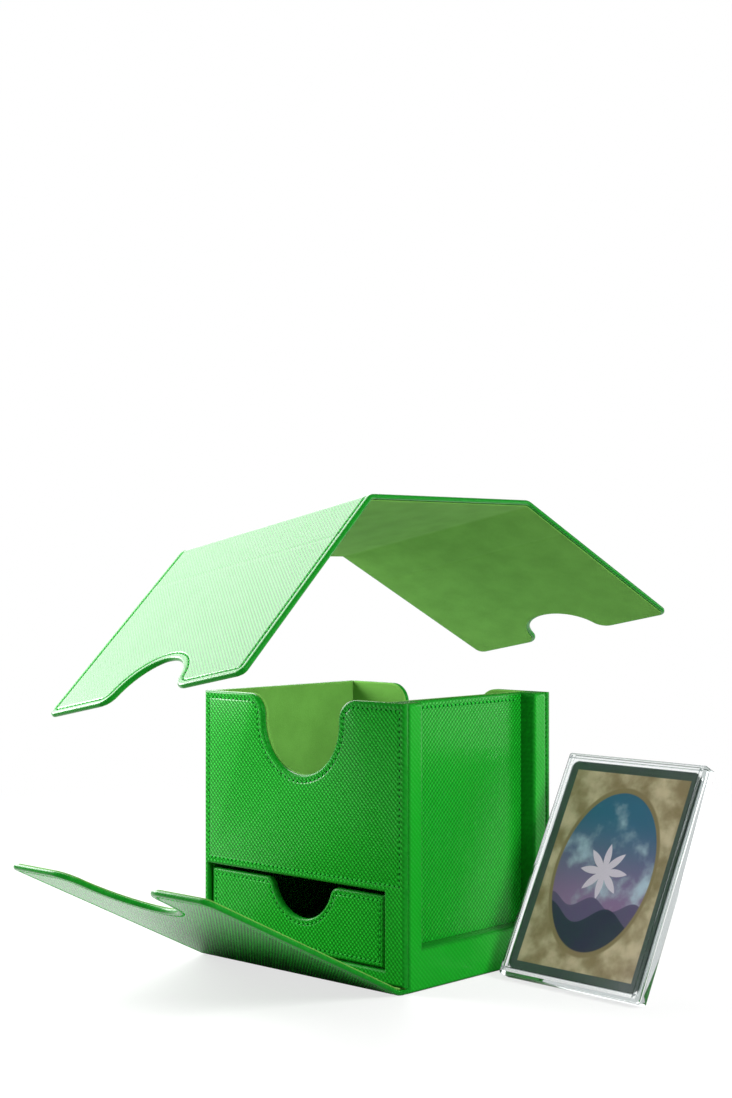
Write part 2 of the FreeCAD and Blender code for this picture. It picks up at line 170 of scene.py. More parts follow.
class CasingSettings(bpy.types.PropertyGroup):
    """The clear casing and the card that it shows."""

    tint: colour("Tint", "Colour of the clear plastic", (0.985, 0.995, 0.995))
    refraction: number("Refraction", "Refractive index, low so that thin edges stay clear", 1.22)
    bevel: length("Bevel", "Slanted edge of the front half", 0.001)
    fine: length("Fine edge", "Small bevel of the other edges and depth of the cut line", 0.0003)
    line: length("Line", "Distance of the cut line from the front half's edge", 0.0022)
    slack: length("Slack", "Room round the card in its pocket", 0.0002)
    card_edge: length("Card edge", "Rounding of the card's edge", 0.00007)
    corner: length("Corner", "Radius of the casing's upright corners", 0.0012)
    card_corner: length("Card corner", "Radius of the card's corners", 0.003)
    stock: colour("Stock", "Plain card of the sides and the back", (0.75, 0.75, 0.72))
    border: colour("Border", "Dark border of the card", (0.06, 0.08, 0.078))
    ground: colour("Ground", "Parchment ground", (0.60, 0.50, 0.33))
    stain: colour("Stain", "Darker parchment", (0.26, 0.19, 0.10))
    sky: colour("Sky", "Upper sky of the oval", (0.035, 0.13, 0.24))
    dusk: colour("Dusk", "Lower sky of the oval", (0.30, 0.16, 0.32))
    cloud: colour("Cloud", "Pale cloud", (0.52, 0.68, 0.78))
    hill: colour("Hill", "Dark hills", (0.035, 0.03, 0.075))
    far_hill: colour("Far hill", "Paler hills behind them", (0.12, 0.08, 0.19))
    wall: colour("Wall", "Greyer plastic of the casing's walls and bevels", (0.36, 0.40, 0.40))
    star: colour("Star", "Eight-pointed star", (0.72, 0.62, 0.74))


class StageSettings(bpy.types.PropertyGroup):
    """Camera, floor and lights."""

    eye: bpy.props.FloatVectorProperty(
        name="Eye", description="Place of the camera", default=(0.5123, -0.5556, 0.1626),
        size=3, subtype="TRANSLATION", unit="LENGTH",
    )
    yaw: number("Yaw", "Turn of the camera from the front, in degrees", 43.0)
    pitch: number("Pitch", "Upward tilt of the camera, in degrees", 0.5)
    lens: number("Lens", "Focal length on a 36 mm long side, in millimetres", 59.36)
    floor: colour("Floor", "Colour of the floor", (0.9, 0.9, 0.9))
    bounce: colour("Bounce", "Colour of the floor in the light that it throws back", (0.64, 0.64, 0.64))
    # Painted shade: the floor's colour near the object, seen only in reflections
    floor_shade_in_mirror: colour("Floor dark", "Colour of the floor by the object in reflections", (0.2, 0.2, 0.2))
    floor_glow: number("Floor glow", "Share of plain white seen on the floor by the object", 0.72)
    floor_reach: length("Floor reach", "Distance from the object at which the floor is plain white", 0.6)
    dome: number("Dome", "Strength of the light from all round", 0.36)
    mirror: number("Mirror", "Strength of the surroundings in reflections", 0.15)
    mirror_glow: number("Mirror glow", "Share of plain white on the far floor in reflections", 0.8)


class DeckBoxSettings(bpy.types.PropertyGroup):
    """Everything that a user may change on the deck box."""

    leather: bpy.props.PointerProperty(type=LeatherSettings)
    suede: bpy.props.PointerProperty(type=SuedeSettings)
    stitch: bpy.props.PointerProperty(type=StitchSettings)
    notch: bpy.props.PointerProperty(type=NotchSettings)
    casing: bpy.props.PointerProperty(type=CasingSettings)
    stage: bpy.props.PointerProperty(type=StageSettings)


def settings():
    return bpy.context.scene.deck_box


# Places: a board's own frame, with u and v along its outer face and w out of it

class Place:
    """A point and three square directions; local points are (along u, along v, out along w)."""

    def __init__(self, origin, u, v):
        self.origin = np.array(origin, float)
        self.axes = np.array([u, v, np.cross(u, v)], float)

    def world(self, points):
        return self.origin + np.asarray(points) @ self.axes

    def local(self, points):
        return (np.asarray(points) - self.origin) @ self.axes.T

    def span(self, node):
        """Lowest and highest local corner of a CAD node."""
        mesh = frame["nodes"][node].data
        flat = np.empty(len(mesh.vertices) * 3, np.float32)
        mesh.vertices.foreach_get("co", flat)
        points = self.local(flat.reshape(-1, 3))
        return points.min(axis=0), points.max(axis=0)


def turned(vector, axis, degrees):
    """A direction turned about an axis by the right-hand rule."""
    return np.array(Matrix.Rotation(np.radians(degrees), 3, Vector(axis))) @ np.asarray(vector)


ORIGIN = np.zeros(3)
FRONT = Place(ORIGIN, X_WAY, Z_WAY)
BACK = Place(ORIGIN, -X_WAY, Z_WAY)
LEFT = Place(ORIGIN, -Y_WAY, Z_WAY)
RIGHT = Place(ORIGIN, Y_WAY, Z_WAY)
TOP = Place(ORIGIN, X_WAY, Y_WAY)
BOTTOM = Place(ORIGIN, X_WAY, -Y_WAY)


def lower_flap_place():
    """The flap on the fold below the front: half open by what its hinge still has to close."""
    joint = JOINTS["lower_flap_fold"]
    rise = 90.0 + joint["range_deg"][0]
    return Place(joint["pos_m"], X_WAY, turned(-Y_WAY, -X_WAY, rise))


def lid_place():
    """The lid's top, tilted by what its lift still has to come down."""
    joint = JOINTS["lid_lift"]
    along = turned(X_WAY, joint["axis"], -joint["range_deg"][0])
    return Place(JOINTS["lid_front_fold"]["pos_m"], along, Y_WAY)


def lid_flap_place(name):
    """A flap of the lid: out of the lid's edge, bent down by what its hinge can still open."""
    joint = JOINTS[f"lid_{name}_fold"]
    lid = lid_place()
    along, out = lid.axes[0], lid.axes[1]
    if name == "front":
        along, out = -along, -out
    return Place(joint["pos_m"], along, turned(out, along, -joint["range_deg"][1]))


def casing_place():
    """The casing on its lower back edge, leaning by what its hinge needs to stand upright."""
    joint = JOINTS["casing_lean"]
    along = np.array(joint["axis"], float)
    return Place(joint["pos_m"], along, turned(Z_WAY, along, -joint["range_deg"][1]))


# Outlines: runs joined end to end anticlockwise, so that the board lies on the left

def straight(start, end, share=1.0):
    """A straight run. Its share tells how far it moves in when the outline is drawn smaller."""
    points = np.array([start, end], float)
    way = (points[1] - points[0]) / np.linalg.norm(points[1] - points[0])
    out = np.array([way[1], -way[0]])
    return points, np.array([out, out]), share


def bend(centre, radius, first, last):
    """A round run: centre plus radius times the cosine and sine of evenly spaced angles.

    Rising angles turn round the board's own corner, falling angles round a hollow.
    """
    steps = max(2, round(abs(last - first) / ARC_STEP))
    angle = np.radians(np.linspace(first, last, steps + 1))
    ray = np.stack([np.cos(angle), np.sin(angle)], axis=1)
    return np.asarray(centre) + radius * ray, ray * np.sign(last - first), 1.0


def outline(runs):
    """The points of joined runs, each point's way inward and the last points of the runs that stay.

    At a corner the way is solved from the two runs' outward directions, so that each run moves
    in by its own share; elsewhere it is the run's own direction. A run with no share is a cut.
    """
    points, ways, cuts = [], [], []
    for (here, out, share), (_, next_out, next_share) in zip(runs, runs[1:] + runs[:1]):
        way = out[1:] * share
        pair = np.array([out[-1], next_out[0]])
        if abs(np.linalg.det(pair)) > 1e-6:
            way[-1] = np.linalg.solve(pair, [share, next_share])
        points.append(here[1:])
        ways.append(-way)
        if share == 0:
            cuts.append(sum(map(len, points)) - 1)
    return types.SimpleNamespace(points=np.vstack(points), ways=np.vstack(ways), cuts=cuts)


def polygon(corners, shares=None):
    """Straight runs from corner to corner, which move in by their shares or all alike."""
    ends = corners[1:] + corners[:1]
    shares = shares or (1,) * len(corners)
    return outline([straight(a, b, s) for a, b, s in zip(corners, ends, shares)])


def rectangle(low, high, shares=None):
    """A rectangle from its lower left corner; the shares are of its low, right, far and left sides."""
    (left, near), (right, far) = low[:2], high[:2]
    return polygon([(left, near), (right, near), (right, far), (left, far)], shares)


def rounded_rectangle(low, high, radius):
    """A rectangle whose four corners are quarter circles."""
    (x0, y0), (x1, y1), r = low[:2], high[:2], radius
    return outline([
        straight((x0 + r, y0), (x1 - r, y0)), bend((x1 - r, y0 + r), r, -90, 0),
        straight((x1, y0 + r), (x1, y1 - r)), bend((x1 - r, y1 - r), r, 0, 90),
        straight((x1 - r, y1), (x0 + r, y1)), bend((x0 + r, y1 - r), r, 90, 180),
        straight((x0, y1 - r), (x0, y0 + r)), bend((x0 + r, y0 + r), r, 180, 270),
    ])


def notched(low, high, notch, low_share=1.0, corner=0.0):
    """A board with a finger notch in its far edge.

    The notch is a round bottom tangent to two round shoulders: the distance between their centres
    is the sum of the radii, which gives the bottom's radius from the mouth, depth and shoulder.
    """
    mouth, depth, shoulder = notch
    half = mouth / 2
    reach = (half * half + depth * depth) / (2 * depth)
    bottom = reach - shoulder
    left, right, edge = low[0], high[0], high[1]
    heart = (0.0, edge - depth + bottom)
    lean = np.degrees(np.arctan2(heart[1] - edge + shoulder, -half)) % 360
    runs = [straight((left, low[1]), (right, low[1]), low_share)]
    runs.append(straight((right, low[1]), (right, edge - corner)))
    if corner:
        runs.append(bend((right - corner, edge - corner), corner, 0, 90))
    runs += [
        straight((right - corner, edge), (half, edge)),
        bend((half, edge - shoulder), shoulder, 90, lean),
        bend(heart, bottom, lean - 180, -lean),
        bend((-half, edge - shoulder), shoulder, 180 - lean, 90),
        straight((-half, edge), (left + corner, edge)),
    ]
    if corner:
        runs.append(bend((left + corner, edge - corner), corner, 90, 180))
    runs.append(straight((left, edge - corner), (left, low[1])))
    return outline(runs)


# Profiles: (inset from the edge, height) from the middle of the outer face round to the back

def groove_rows(inset, half, depth, top):
    """A pressed line: the height falls as a squared cosine across its width."""
    across = np.linspace(1, -1, 7)
    return np.stack([inset + half * across, top - depth * np.cos(across * np.pi / 2) ** 2], axis=1)


def edge_rows(top, bottom, outer, inner):
    """A rounded edge: a quarter circle under the outer face, the side, and one to the back."""
    quarter = np.radians(np.linspace(0, 90, EDGE_STEPS + 1))
    sine, cosine = np.sin(quarter), np.cos(quarter)
    over = np.stack([outer * (1 - sine), top - outer * (1 - cosine)], axis=1)
    under = np.stack([inner * (1 - cosine), bottom + inner * (1 - sine)], axis=1)
    first, last = [(outer + SUPPORT, top)], [(inner + SUPPORT, bottom)]
    return np.vstack([first, over, under, last])


def leather_rows(top, bottom, sewn_inset=None):
    """The profile of a covered board, with a pressed line where it is sewn."""
    leather, stitch = settings().leather, settings().stitch
    rows = edge_rows(top, bottom, leather.edge_radius, leather.turned_radius)
    if sewn_inset is None:
        return rows
    groove = groove_rows(sewn_inset, stitch.groove, stitch.depth, top)
    support = [(sewn_inset + stitch.groove + SUPPORT, top)]
    return np.vstack([support, groove, rows])


def unfolded(rows):
    """The inset that each row has when the profile is laid flat, for the grain to run on."""
    steps = np.linalg.norm(np.diff(rows, axis=0), axis=1)
    return rows[0, 0] - np.concatenate([[0.0], np.cumsum(steps)])


def edge_mask(rows, top):
    """How much each row is edge: 1 on the rounding and the side, 0 on the faces."""
    radius = settings().leather.edge_radius
    flat = np.clip(1 - (rows[:, 0] - radius * 0.3) / radius, 0, 1)
    return np.where(rows[:, 1] > top - radius, flat, 1 - np.clip(rows[:, 0] / radius, 0, 1))


class Shell:
    """Collects rings and flat faces of one piece, in a board's own frame."""

    def __init__(self, place):
        self.place = place
        self.points, self.grain, self.edge, self.faces = [], [], [], []
        self.total = 0

    def add(self, points, grain, edge):
        """Adds a grid of points (rings by points round) and returns their numbers.

        The edge mask is given for each ring or for each point round.
        """
        numbers = self.total + np.arange(points.shape[0] * points.shape[1]).reshape(points.shape[:2])
        self.points.append(points.reshape(-1, 3))
        self.grain.append(grain.reshape(-1, 2))
        self.edge.append(np.broadcast_to(edge, points.shape[:2]).ravel())
        self.total += numbers.size
        return numbers

    def rings(self, shape, rows, top):
        """Carries a profile round an outline: each point moves in by the row's inset, to its height.

        Where the outline is cut the profile ends in a flat face of its own.
        """
        flat = shape.points[None] + rows[:, 0, None, None] * shape.ways[None]
        height = np.broadcast_to(rows[:, 1, None, None], flat.shape[:2] + (1,))
        grain = shape.points[None] + unfolded(rows)[:, None, None] * shape.ways[None]
        edge = edge_mask(rows, top)[:, None]
        numbers = self.add(np.concatenate([flat, height], axis=2), grain, edge)
        self.quads(numbers, shape.cuts)
        for end in shape.cuts:
            self.faces.append(np.concatenate([numbers[:, end - 1], numbers[::-1, end]]).tolist())
        return numbers

    def quads(self, numbers, cuts=()):
        """Four-sided faces between neighbouring rings, closed round each ring but for its cuts."""
        following = np.roll(numbers, -1, axis=1)
        sides = np.stack([numbers[1:], following[1:], following[:-1], numbers[:-1]], axis=-1)
        sides = np.delete(sides, [end - 1 for end in cuts], axis=1)
        self.faces += sides.reshape(-1, 4).tolist()

    def cap(self, loops, up):
        """A flat face inside the first loop and outside the others, facing up or down."""
        points = np.vstack(self.points)
        rims = [points[loop][:, :2] for loop in loops]
        flat = np.vstack(rims)
        polylines = [np.pad(rim, ((0, 0), (0, 1))).tolist() for rim in rims]
        corners = np.array(geometry.tessellate_polygon(polylines))
        a, b, c = (flat[corners[:, k]] for k in range(3))
        area = np.cross(b - a, c - a)
        corners[(area > 0) != up] = corners[(area > 0) != up][:, ::-1]
        self.faces += np.concatenate(loops)[corners[np.abs(area) > 0]].tolist()

    def piece(self, name, material):
        points = self.place.world(np.vstack(self.points))
        grain, edge = np.vstack(self.grain), np.concatenate(self.edge)
        return new_piece(name, points, self.faces, [material], grain, edge)


def new_piece(name, points, faces, materials, grain=None, edge=None, face_material=None):
    """A mesh object from whole arrays, with its faces turned outward by the sign of its volume."""
    mesh = bpy.data.meshes.new(name)
    mesh.from_pydata(np.asarray(points).tolist(), [], faces)
    mesh.calc_loop_triangles()
    corners = np.empty(len(mesh.loop_triangles) * 3, np.int32)
    mesh.loop_triangles.foreach_get("vertices", corners)
    a, b, c = (np.asarray(points)[corners.reshape(-1, 3)[:, k]] for k in range(3))
    if np.sum(a * np.cross(b, c)) < 0:
        mesh.flip_normals()
    if grain is not None:
        loops = np.empty(len(mesh.loops), np.int32)
        mesh.loops.foreach_get("vertex_index", loops)
        layer = mesh.uv_layers.new(name="grain")
        layer.uv.foreach_set("vector", (grain[loops] / MM).astype(np.float32).ravel())
    if edge is not None:
        values = mesh.attributes.new("edge", "FLOAT", "POINT")
        values.data.foreach_set("value", edge.astype(np.float32))
    for material in materials:
        mesh.materials.append(material)
    if face_material is not None:
        mesh.polygons.foreach_set("material_index", face_material)
    mesh.polygons.foreach_set("use_smooth", np.ones(len(mesh.polygons), bool))
    mesh.set_sharp_from_angle(angle=np.radians(SHARP_ANGLE))
    mesh.validate()
    piece = bpy.data.objects.new(name, mesh)
    bpy.context.scene.collection.objects.link(piece)
    return piece


def board(name, place, shape, rows, material):
    """A closed board: a profile carried round its outline, with a flat face before and behind."""
    shell = Shell(place)
    numbers = shell.rings(shape, rows, rows[:, 1].max())
    shell.cap([numbers[0]], True)
    shell.cap([numbers[-1]], False)
    return shell.piece(name, material)


def settle(piece, body, slot, *nodes):
    """Rides a piece on a body, in place of CAD nodes if any are named."""
    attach(piece, body)
    if nodes:
        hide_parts(*nodes)
    return piece


def leather_board(name, body, place, node, shape, sewn_inset=None, cut="box"):
    """A leather-covered board in place of a node, between the node's back and outer faces."""
    low, high = place.span(node)
    rows = leather_rows(high[2], low[2], sewn_inset)
    return settle(board(name, place, shape, rows, leather(cut)), body, "leatherette", node)


def suede_board(name, body, place, node, shape, radius):
    """A suede-covered board in place of a node."""
    low, high = place.span(node)
    rows = edge_rows(high[2], low[2], radius, min(radius, settings().suede.edge_radius))
    return settle(board(name, place, shape, rows, suede()), body, "suede", node)


# Stitching

def capsule():
    """A unit stitch from -1 to 1: rings whose radius is the root of 1 minus the fourth power of x."""
    x = np.array([-0.86, -0.4, 0.4, 0.86])
    angle = np.radians(np.arange(0, 360, 60))
    radius = np.sqrt(1 - x ** 4)[:, None]
    grid = np.broadcast_arrays(x[:, None], radius * np.cos(angle), radius * np.sin(angle))
    points = np.vstack([np.stack(grid, axis=-1).reshape(-1, 3), [(-1, 0, 0), (1, 0, 0)]])
    numbers = np.arange(x.size * angle.size).reshape(x.size, angle.size)
    following = np.roll(numbers, -1, axis=1)
    sides = np.stack([numbers[:-1], numbers[1:], following[1:], following[:-1]], axis=-1).reshape(-1, 4)
    low_tip, high_tip = np.full(angle.size, numbers.size), np.full(angle.size, numbers.size + 1)
    low = np.stack([low_tip, numbers[0], following[0]], axis=-1)
    high = np.stack([high_tip, following[-1], numbers[-1]], axis=-1)
    return points, sides, np.vstack([low, high])


def along(line, distances):
    """Points at given distances along a polyline."""
    steps = np.linalg.norm(np.diff(line, axis=0), axis=1)
    way = np.concatenate([[0.0], np.cumsum(steps)])
    return np.stack([np.interp(distances, way, line[:, k]) for k in range(line.shape[1])], axis=1)


def sewn_marks(line, pitch, reach, shift):
    """Starts and ends of marks spread evenly along a line."""
    total = np.linalg.norm(np.diff(line, axis=0), axis=1).sum()
    count = max(1, round(total / pitch))
    middle = (np.arange(count) + shift) * total / count
    return along(line, middle - reach / 2), along(line, middle + reach / 2)


def stitching(name, body, place, lines, height):
    """Sewn lines on a board: a thread capsule for each stitch and after it a dark capsule that paints
    the shade of a needle hole.

    Every mark is the unit capsule scaled to its length, width and height, turned along the line.
    """
    stitch = settings().stitch
    unit, sides, tips = capsule()
    # Length, width, height, place within the pitch, lift and material of each kind of mark
    kinds = (
        (stitch.reach, stitch.width, stitch.width * 0.62, 0.5, stitch.width * 0.12, 0),
        # The second kind is painted shade: a dark raised mark where a needle hole's shade falls
        (stitch.hole_reach, stitch.hole_width, stitch.width * 0.25, 1.0, 0.0, 1),
    )
    points, faces, owners, total = [], [], [], 0
    for line in lines:
        for reach, width, tall, shift, lift, owner in kinds:
            start, end = sewn_marks(line, stitch.pitch, reach, shift)
            way = end - start
            size = np.linalg.norm(way, axis=1, keepdims=True)
            way = way / np.maximum(size, 1e-9)
            across = np.stack([-way[:, 1], way[:, 0]], axis=1)
            middle = (start + end) / 2
            flat = (
                middle[:, None] + unit[None, :, :1] * way[:, None] * reach / 2
                + unit[None, :, 1:2] * across[:, None] * width / 2
            )
            raised = np.broadcast_to(height + lift + unit[None, :, 2:] * tall / 2, flat.shape[:2] + (1,))
            points.append(np.concatenate([flat, raised], axis=2).reshape(-1, 3))
            base = total + np.arange(len(middle))[:, None, None] * len(unit)
            faces += (base + sides).reshape(-1, 4).tolist() + (base + tips).reshape(-1, 3).tolist()
            owners.append(np.full(len(middle) * (len(sides) + len(tips)), owner, np.int32))
            total += len(middle) * len(unit)
    points, owners = place.world(np.vstack(points)), np.concatenate(owners)
    piece = new_piece(name, points, faces, [thread(), needle_hole_shade()], face_material=owners)
    return settle(piece, body, "leatherette")


def sewn_line(shape, inset, closed=True):
    """The line of a seam: the outline moved in, from its second corner round to its first."""
    line = shape.points + inset * shape.ways
    return np.vstack([line, line[:1]]) if closed else line


# Folds

def fold_strip(name, ends, reach, rows, side, material, span=(0.0, 1.0), pinch=0.0):
    """A strip that carries a cover over a fold: the boards' cross-section swept along an arc.

    The arc touches both boards where they end, at the same reach from the fold's line, so its
    radius is the reach over the tangent of half the bend. A pinch thins the strip as a squared
    cosine along the way, which leaves a creased line.
    """
    start_place, way, end_place, turn = ends
    normal = start_place.axes[2]
    across = np.cross(way, normal)
    share = np.linspace(*span, FOLD_STATIONS)
    if turn < 1e-3:
        centres = (2 * share[:, None] - 1) * reach * way
        normals = np.broadcast_to(normal, centres.shape)
        run = 2 * reach * share
    else:
        radius = reach / np.tan(turn / 2)
        angle = share[:, None] * turn
        normals = normal * np.cos(angle) + way * np.sin(angle)
        centres = -reach * way - radius * normal + radius * normals
        run = radius * share * turn
    middle = (rows[:, 1].max() + rows[:, 1].min()) / 2
    squeeze = 1 - pinch * np.cos((share - 0.5) * np.pi) ** 2
    x = np.concatenate([side - rows[:, 0], rows[::-1, 0] - side])
    height = np.concatenate([rows[:, 1], rows[::-1, 1]])
    height = middle + (height[None] - middle) * squeeze[:, None]
    points = centres[:, None] + x[None, :, None] * across + height[..., None] * normals[:, None]
    laid = unfolded(rows)
    grain_x = np.concatenate([side - laid, laid[::-1] - side])
    grain = np.stack(np.broadcast_arrays(grain_x[None], run[:, None]), axis=-1)
    edge = edge_mask(rows, rows[:, 1].max())
    edge = np.concatenate([edge, edge[::-1]])
    shell = Shell(end_place)
    numbers = shell.add(end_place.local(end_place.origin + points), grain, edge)
    shell.quads(numbers)
    shell.faces += [numbers[0][::-1].tolist(), numbers[-1].tolist()]
    piece = shell.piece(name, material)
    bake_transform(piece)
    return piece


# Materials

class Graph:
    """Short calls for adding and joining shader nodes."""

    def __init__(self, tree):
        self.tree = tree

    def node(self, kind, values=None, **options):
        made = self.tree.nodes.new(kind)
        for key, value in options.items():
            setattr(made, key, value)
        for key, value in (values or {}).items():
            self.feed(made.inputs[key], value)
        return made

    def feed(self, socket, value):
        if isinstance(value, bpy.types.NodeSocket):
            self.tree.links.new(value, socket)
        elif isinstance(value, (int, float)):
            socket.default_value = value
        else:
            plain = tuple(value)
            socket.default_value = plain + (1.0,) * (len(socket.default_value) - len(plain))

    def math(self, operation, *values):
        made = self.node("ShaderNodeMath", operation=operation)
        for socket, value in zip(made.inputs, values):
            self.feed(socket, value)
        return made.outputs[0]

    def mix(self, share, first, second):
        made = self.node("ShaderNodeMix", data_type="RGBA")
        for index, value in ((0, share), (6, first), (7, second)):
            self.feed(made.inputs[index], value)
        return made.outputs[2]

    def ramp(self, value, low, high):
        """0 below low, 1 above high, smooth between."""
        made = self.node("ShaderNodeMapRange", {"Value": value}, interpolation_type="SMOOTHSTEP")
        self.feed(made.inputs["From Min"], low)
        self.feed(made.inputs["From Max"], high)
        return made.outputs["Result"]

    def noise(self, vector, scale, detail=2.0):
        made = self.node("ShaderNodeTexNoise", {"Vector": vector, "Scale": scale, "Detail": detail})
        return made.outputs["Fac"]

    def bump(self, height, distance, strength=1.0):
        values = {"Height": height, "Distance": distance, "Strength": strength}
        return self.node("ShaderNodeBump", values).outputs["Normal"]

    def group(self, tree, values):
        return self.node("ShaderNodeGroup", values, node_tree=tree).outputs

    def place(self):
        """Where a point lies in its object, in metres."""
        return self.node("ShaderNodeTexCoord").outputs["Object"]

    def laid(self):
        """Where a point lies on the cover laid flat, in millimetres."""
        return self.node("ShaderNodeUVMap", uv_map="grain").outputs["UV"]

    def edge(self):
        """The edge mask of a piece."""
        return self.node("ShaderNodeAttribute", attribute_name="edge").outputs["Fac"]


# Kinds of the node groups' sockets; all others are plain numbers
SOCKETS = {"Vector": "NodeSocketVector", "Colour": "NodeSocketColor", "Shaded edge": "NodeSocketColor"}


def shader_group(name, inputs, outputs, build):
    """A shader node group, made once: named sockets, then build(graph, inputs, outputs)."""
    tree = bpy.data.node_groups.get(name)
    if tree is None:
        tree = bpy.data.node_groups.new(name, "ShaderNodeTree")
        for way, labels in (("INPUT", inputs), ("OUTPUT", outputs)):
            for label in labels:
                kind = SOCKETS.get(label, "NodeSocketFloat")
                tree.interface.new_socket(label, in_out=way, socket_type=kind)
        graph = Graph(tree)
        source, sink = graph.node("NodeGroupInput"), graph.node("NodeGroupOutput")
        build(graph, source.outputs, sink.inputs)
    return tree


def build_grain(graph, given, out):
    """Staggered grains: two slanted cosine waves that cross, the falling one by its share.

    Where the cover is stretched the grain sinks towards its own middle height.
    """
    axes = graph.node("ShaderNodeSeparateXYZ", {0: given["Vector"]})
    across, along_rows = [
        graph.math("DIVIDE", graph.math("MULTIPLY", axes.outputs[k], 2 * np.pi), given[pitch])
        for k, pitch in ((0, "Width"), (1, "Height"))
    ]
    falling = graph.math("COSINE", graph.math("ADD", across, along_rows))
    rising = graph.math("COSINE", graph.math("SUBTRACT", across, along_rows))
    crossed = graph.math("MULTIPLY", rising, graph.math("SUBTRACT", 1.0, given["Falling"]))
    lumps = graph.ramp(graph.math("MULTIPLY_ADD", falling, given["Falling"], crossed), -0.55, 0.75)
    uneven = graph.math("MULTIPLY_ADD", graph.noise(given["Vector"], 0.35), 0.5, 0.7)
    over = graph.math("SUBTRACT", graph.math("MULTIPLY", lumps, uneven), GRAIN_MIDDLE)
    left = graph.math("SUBTRACT", 1.0, graph.math("MULTIPLY", given["Stretch"], 0.9))
    graph.feed(out["Grain"], graph.math("MULTIPLY_ADD", over, left, GRAIN_MIDDLE))
    graph.feed(out["Mottle"], graph.noise(given["Vector"], 0.06, 3.0))


def build_edge_shade(graph, given, out):
    """Painted edge shade: the edge mask, broken up by noise, carries the colour towards the darker edge
    colour, which paints shade on the turned edges.
    """
    patchy = graph.ramp(graph.noise(given["Vector"], 0.5), 0.3, 0.75)
    share = graph.math("MULTIPLY", given["Edge"], graph.math("MULTIPLY_ADD", patchy, 0.4, 0.6))
    graph.feed(out["Colour"], graph.mix(share, given["Colour"], given["Shaded edge"]))


def build_nap(graph, given, out):
    """Suede nap: fine fibres over soft brushed patches."""
    fibres = graph.noise(given["Vector"], 2600.0, 3.0)
    patches = graph.noise(given["Vector"], 90.0, 3.0)
    graph.feed(out["Fibres"], fibres)
    both = graph.math("ADD", graph.math("MULTIPLY", fibres, 0.45), graph.math("MULTIPLY", patches, 0.55))
    graph.feed(out["Brushed"], graph.ramp(both, 0.32, 0.68))


def grain_group():
    inputs = ("Vector", "Width", "Height", "Falling", "Stretch")
    return shader_group("Leather grain", inputs, ("Grain", "Mottle"), build_grain)


def edge_shade_group():
    return shader_group("Painted edge shade", ("Vector", "Edge", "Colour", "Shaded edge"), ("Colour",), build_edge_shade)


def nap_group():
    return shader_group("Suede nap", ("Vector",), ("Fibres", "Brushed"), build_nap)


def material(name, build):
    """A material made once; build(graph, shader) joins nodes to its Principled BSDF."""
    made = bpy.data.materials.get(name)
    if made is None:
        made = bpy.data.materials.new(name)
        made.use_nodes = True
        build(Graph(made.node_tree), made.node_tree.nodes["Principled BSDF"].inputs)
    return made


def build_leather(graph, shader, width, height, falling, stretch):
    """Leatherette: grain from valley to crown, with painted shade in the valleys and on the turned
    edges, under a coat.

    The coat is thickest on the tops of the grain and nearly whole where the face is seen slanting.
    """
    look = settings().leather
    laid, edge = graph.laid(), graph.edge()
    grain = graph.group(grain_group(), {
        "Vector": laid, "Width": width / MM, "Height": height / MM, "Falling": falling,
        "Stretch": graph.math("MAXIMUM", edge, stretch),
    })
    # Grain mixes valley to crown: the valley's colour is partly the leather's own tone and partly
    # painted shade in the hollows
    tone = graph.mix(grain["Grain"], look.valley, look.crown)
    # Turned edges move towards the darker edge colour: painted shade on the rounded edges
    edge_shade = {"Vector": laid, "Edge": edge, "Colour": tone, "Shaded edge": look.edge_shade}
    graph.feed(shader["Base Color"], graph.group(edge_shade_group(), edge_shade)["Colour"])
    graph.feed(shader["Roughness"], graph.math("MULTIPLY_ADD", grain["Mottle"], 0.2, 0.4))
    shader["Specular IOR Level"].default_value = 0.04
    tops = graph.ramp(grain["Grain"], 0.35, 1.0)
    coat = graph.math("MULTIPLY_ADD", tops, look.coat_high, look.coat_low)
    slanting = graph.ramp(graph.node("ShaderNodeLayerWeight").outputs["Facing"], 0.3, 0.6)
    missing = graph.math("MULTIPLY", slanting, graph.math("SUBTRACT", 1.0, coat))
    graph.feed(shader["Coat Weight"], graph.math("MULTIPLY_ADD", missing, look.coat_slanting, coat))
    shader["Coat Roughness"].default_value = look.coat_roughness
    graph.feed(shader["Normal"], graph.bump(grain["Grain"], look.grain_depth))


def leather(cut):
    """The leatherette of one cut: the recess and the lower flap have theirs turned on the roll."""
    look = settings().leather
    coarse, fine = (look.grain_width, look.grain_height), (look.fine_width, look.fine_height)
    grain = {
        "box": (*coarse, look.falling, 0.0),
        "recess": (*coarse, look.recess_falling, look.recess_stretch),
        "frame": (*coarse, look.falling, look.frame_stretch),
        "lid": (*fine, look.falling, 0.0),
        "flap": (*fine, 1.0 - look.falling, 0.0),
    }[cut]
    return material(f"{cut} leatherette", lambda graph, shader: build_leather(graph, shader, *grain))


def build_suede(graph, shader):
    """Suede: matt nap in two tones with a faint sheen."""
    look = settings().suede
    nap = graph.group(nap_group(), {"Vector": graph.place()})
    graph.feed(shader["Base Color"], graph.mix(nap["Brushed"], look.dark, look.light))
    shader["Roughness"].default_value = 0.95
    shader["Sheen Weight"].default_value = 0.03
    shader["Sheen Roughness"].default_value = 0.5
    shader["Specular IOR Level"].default_value = 0.1
    graph.feed(shader["Normal"], graph.bump(nap["Fibres"], look.nap, 0.6))


def suede():
    return material("olive suede", build_suede)


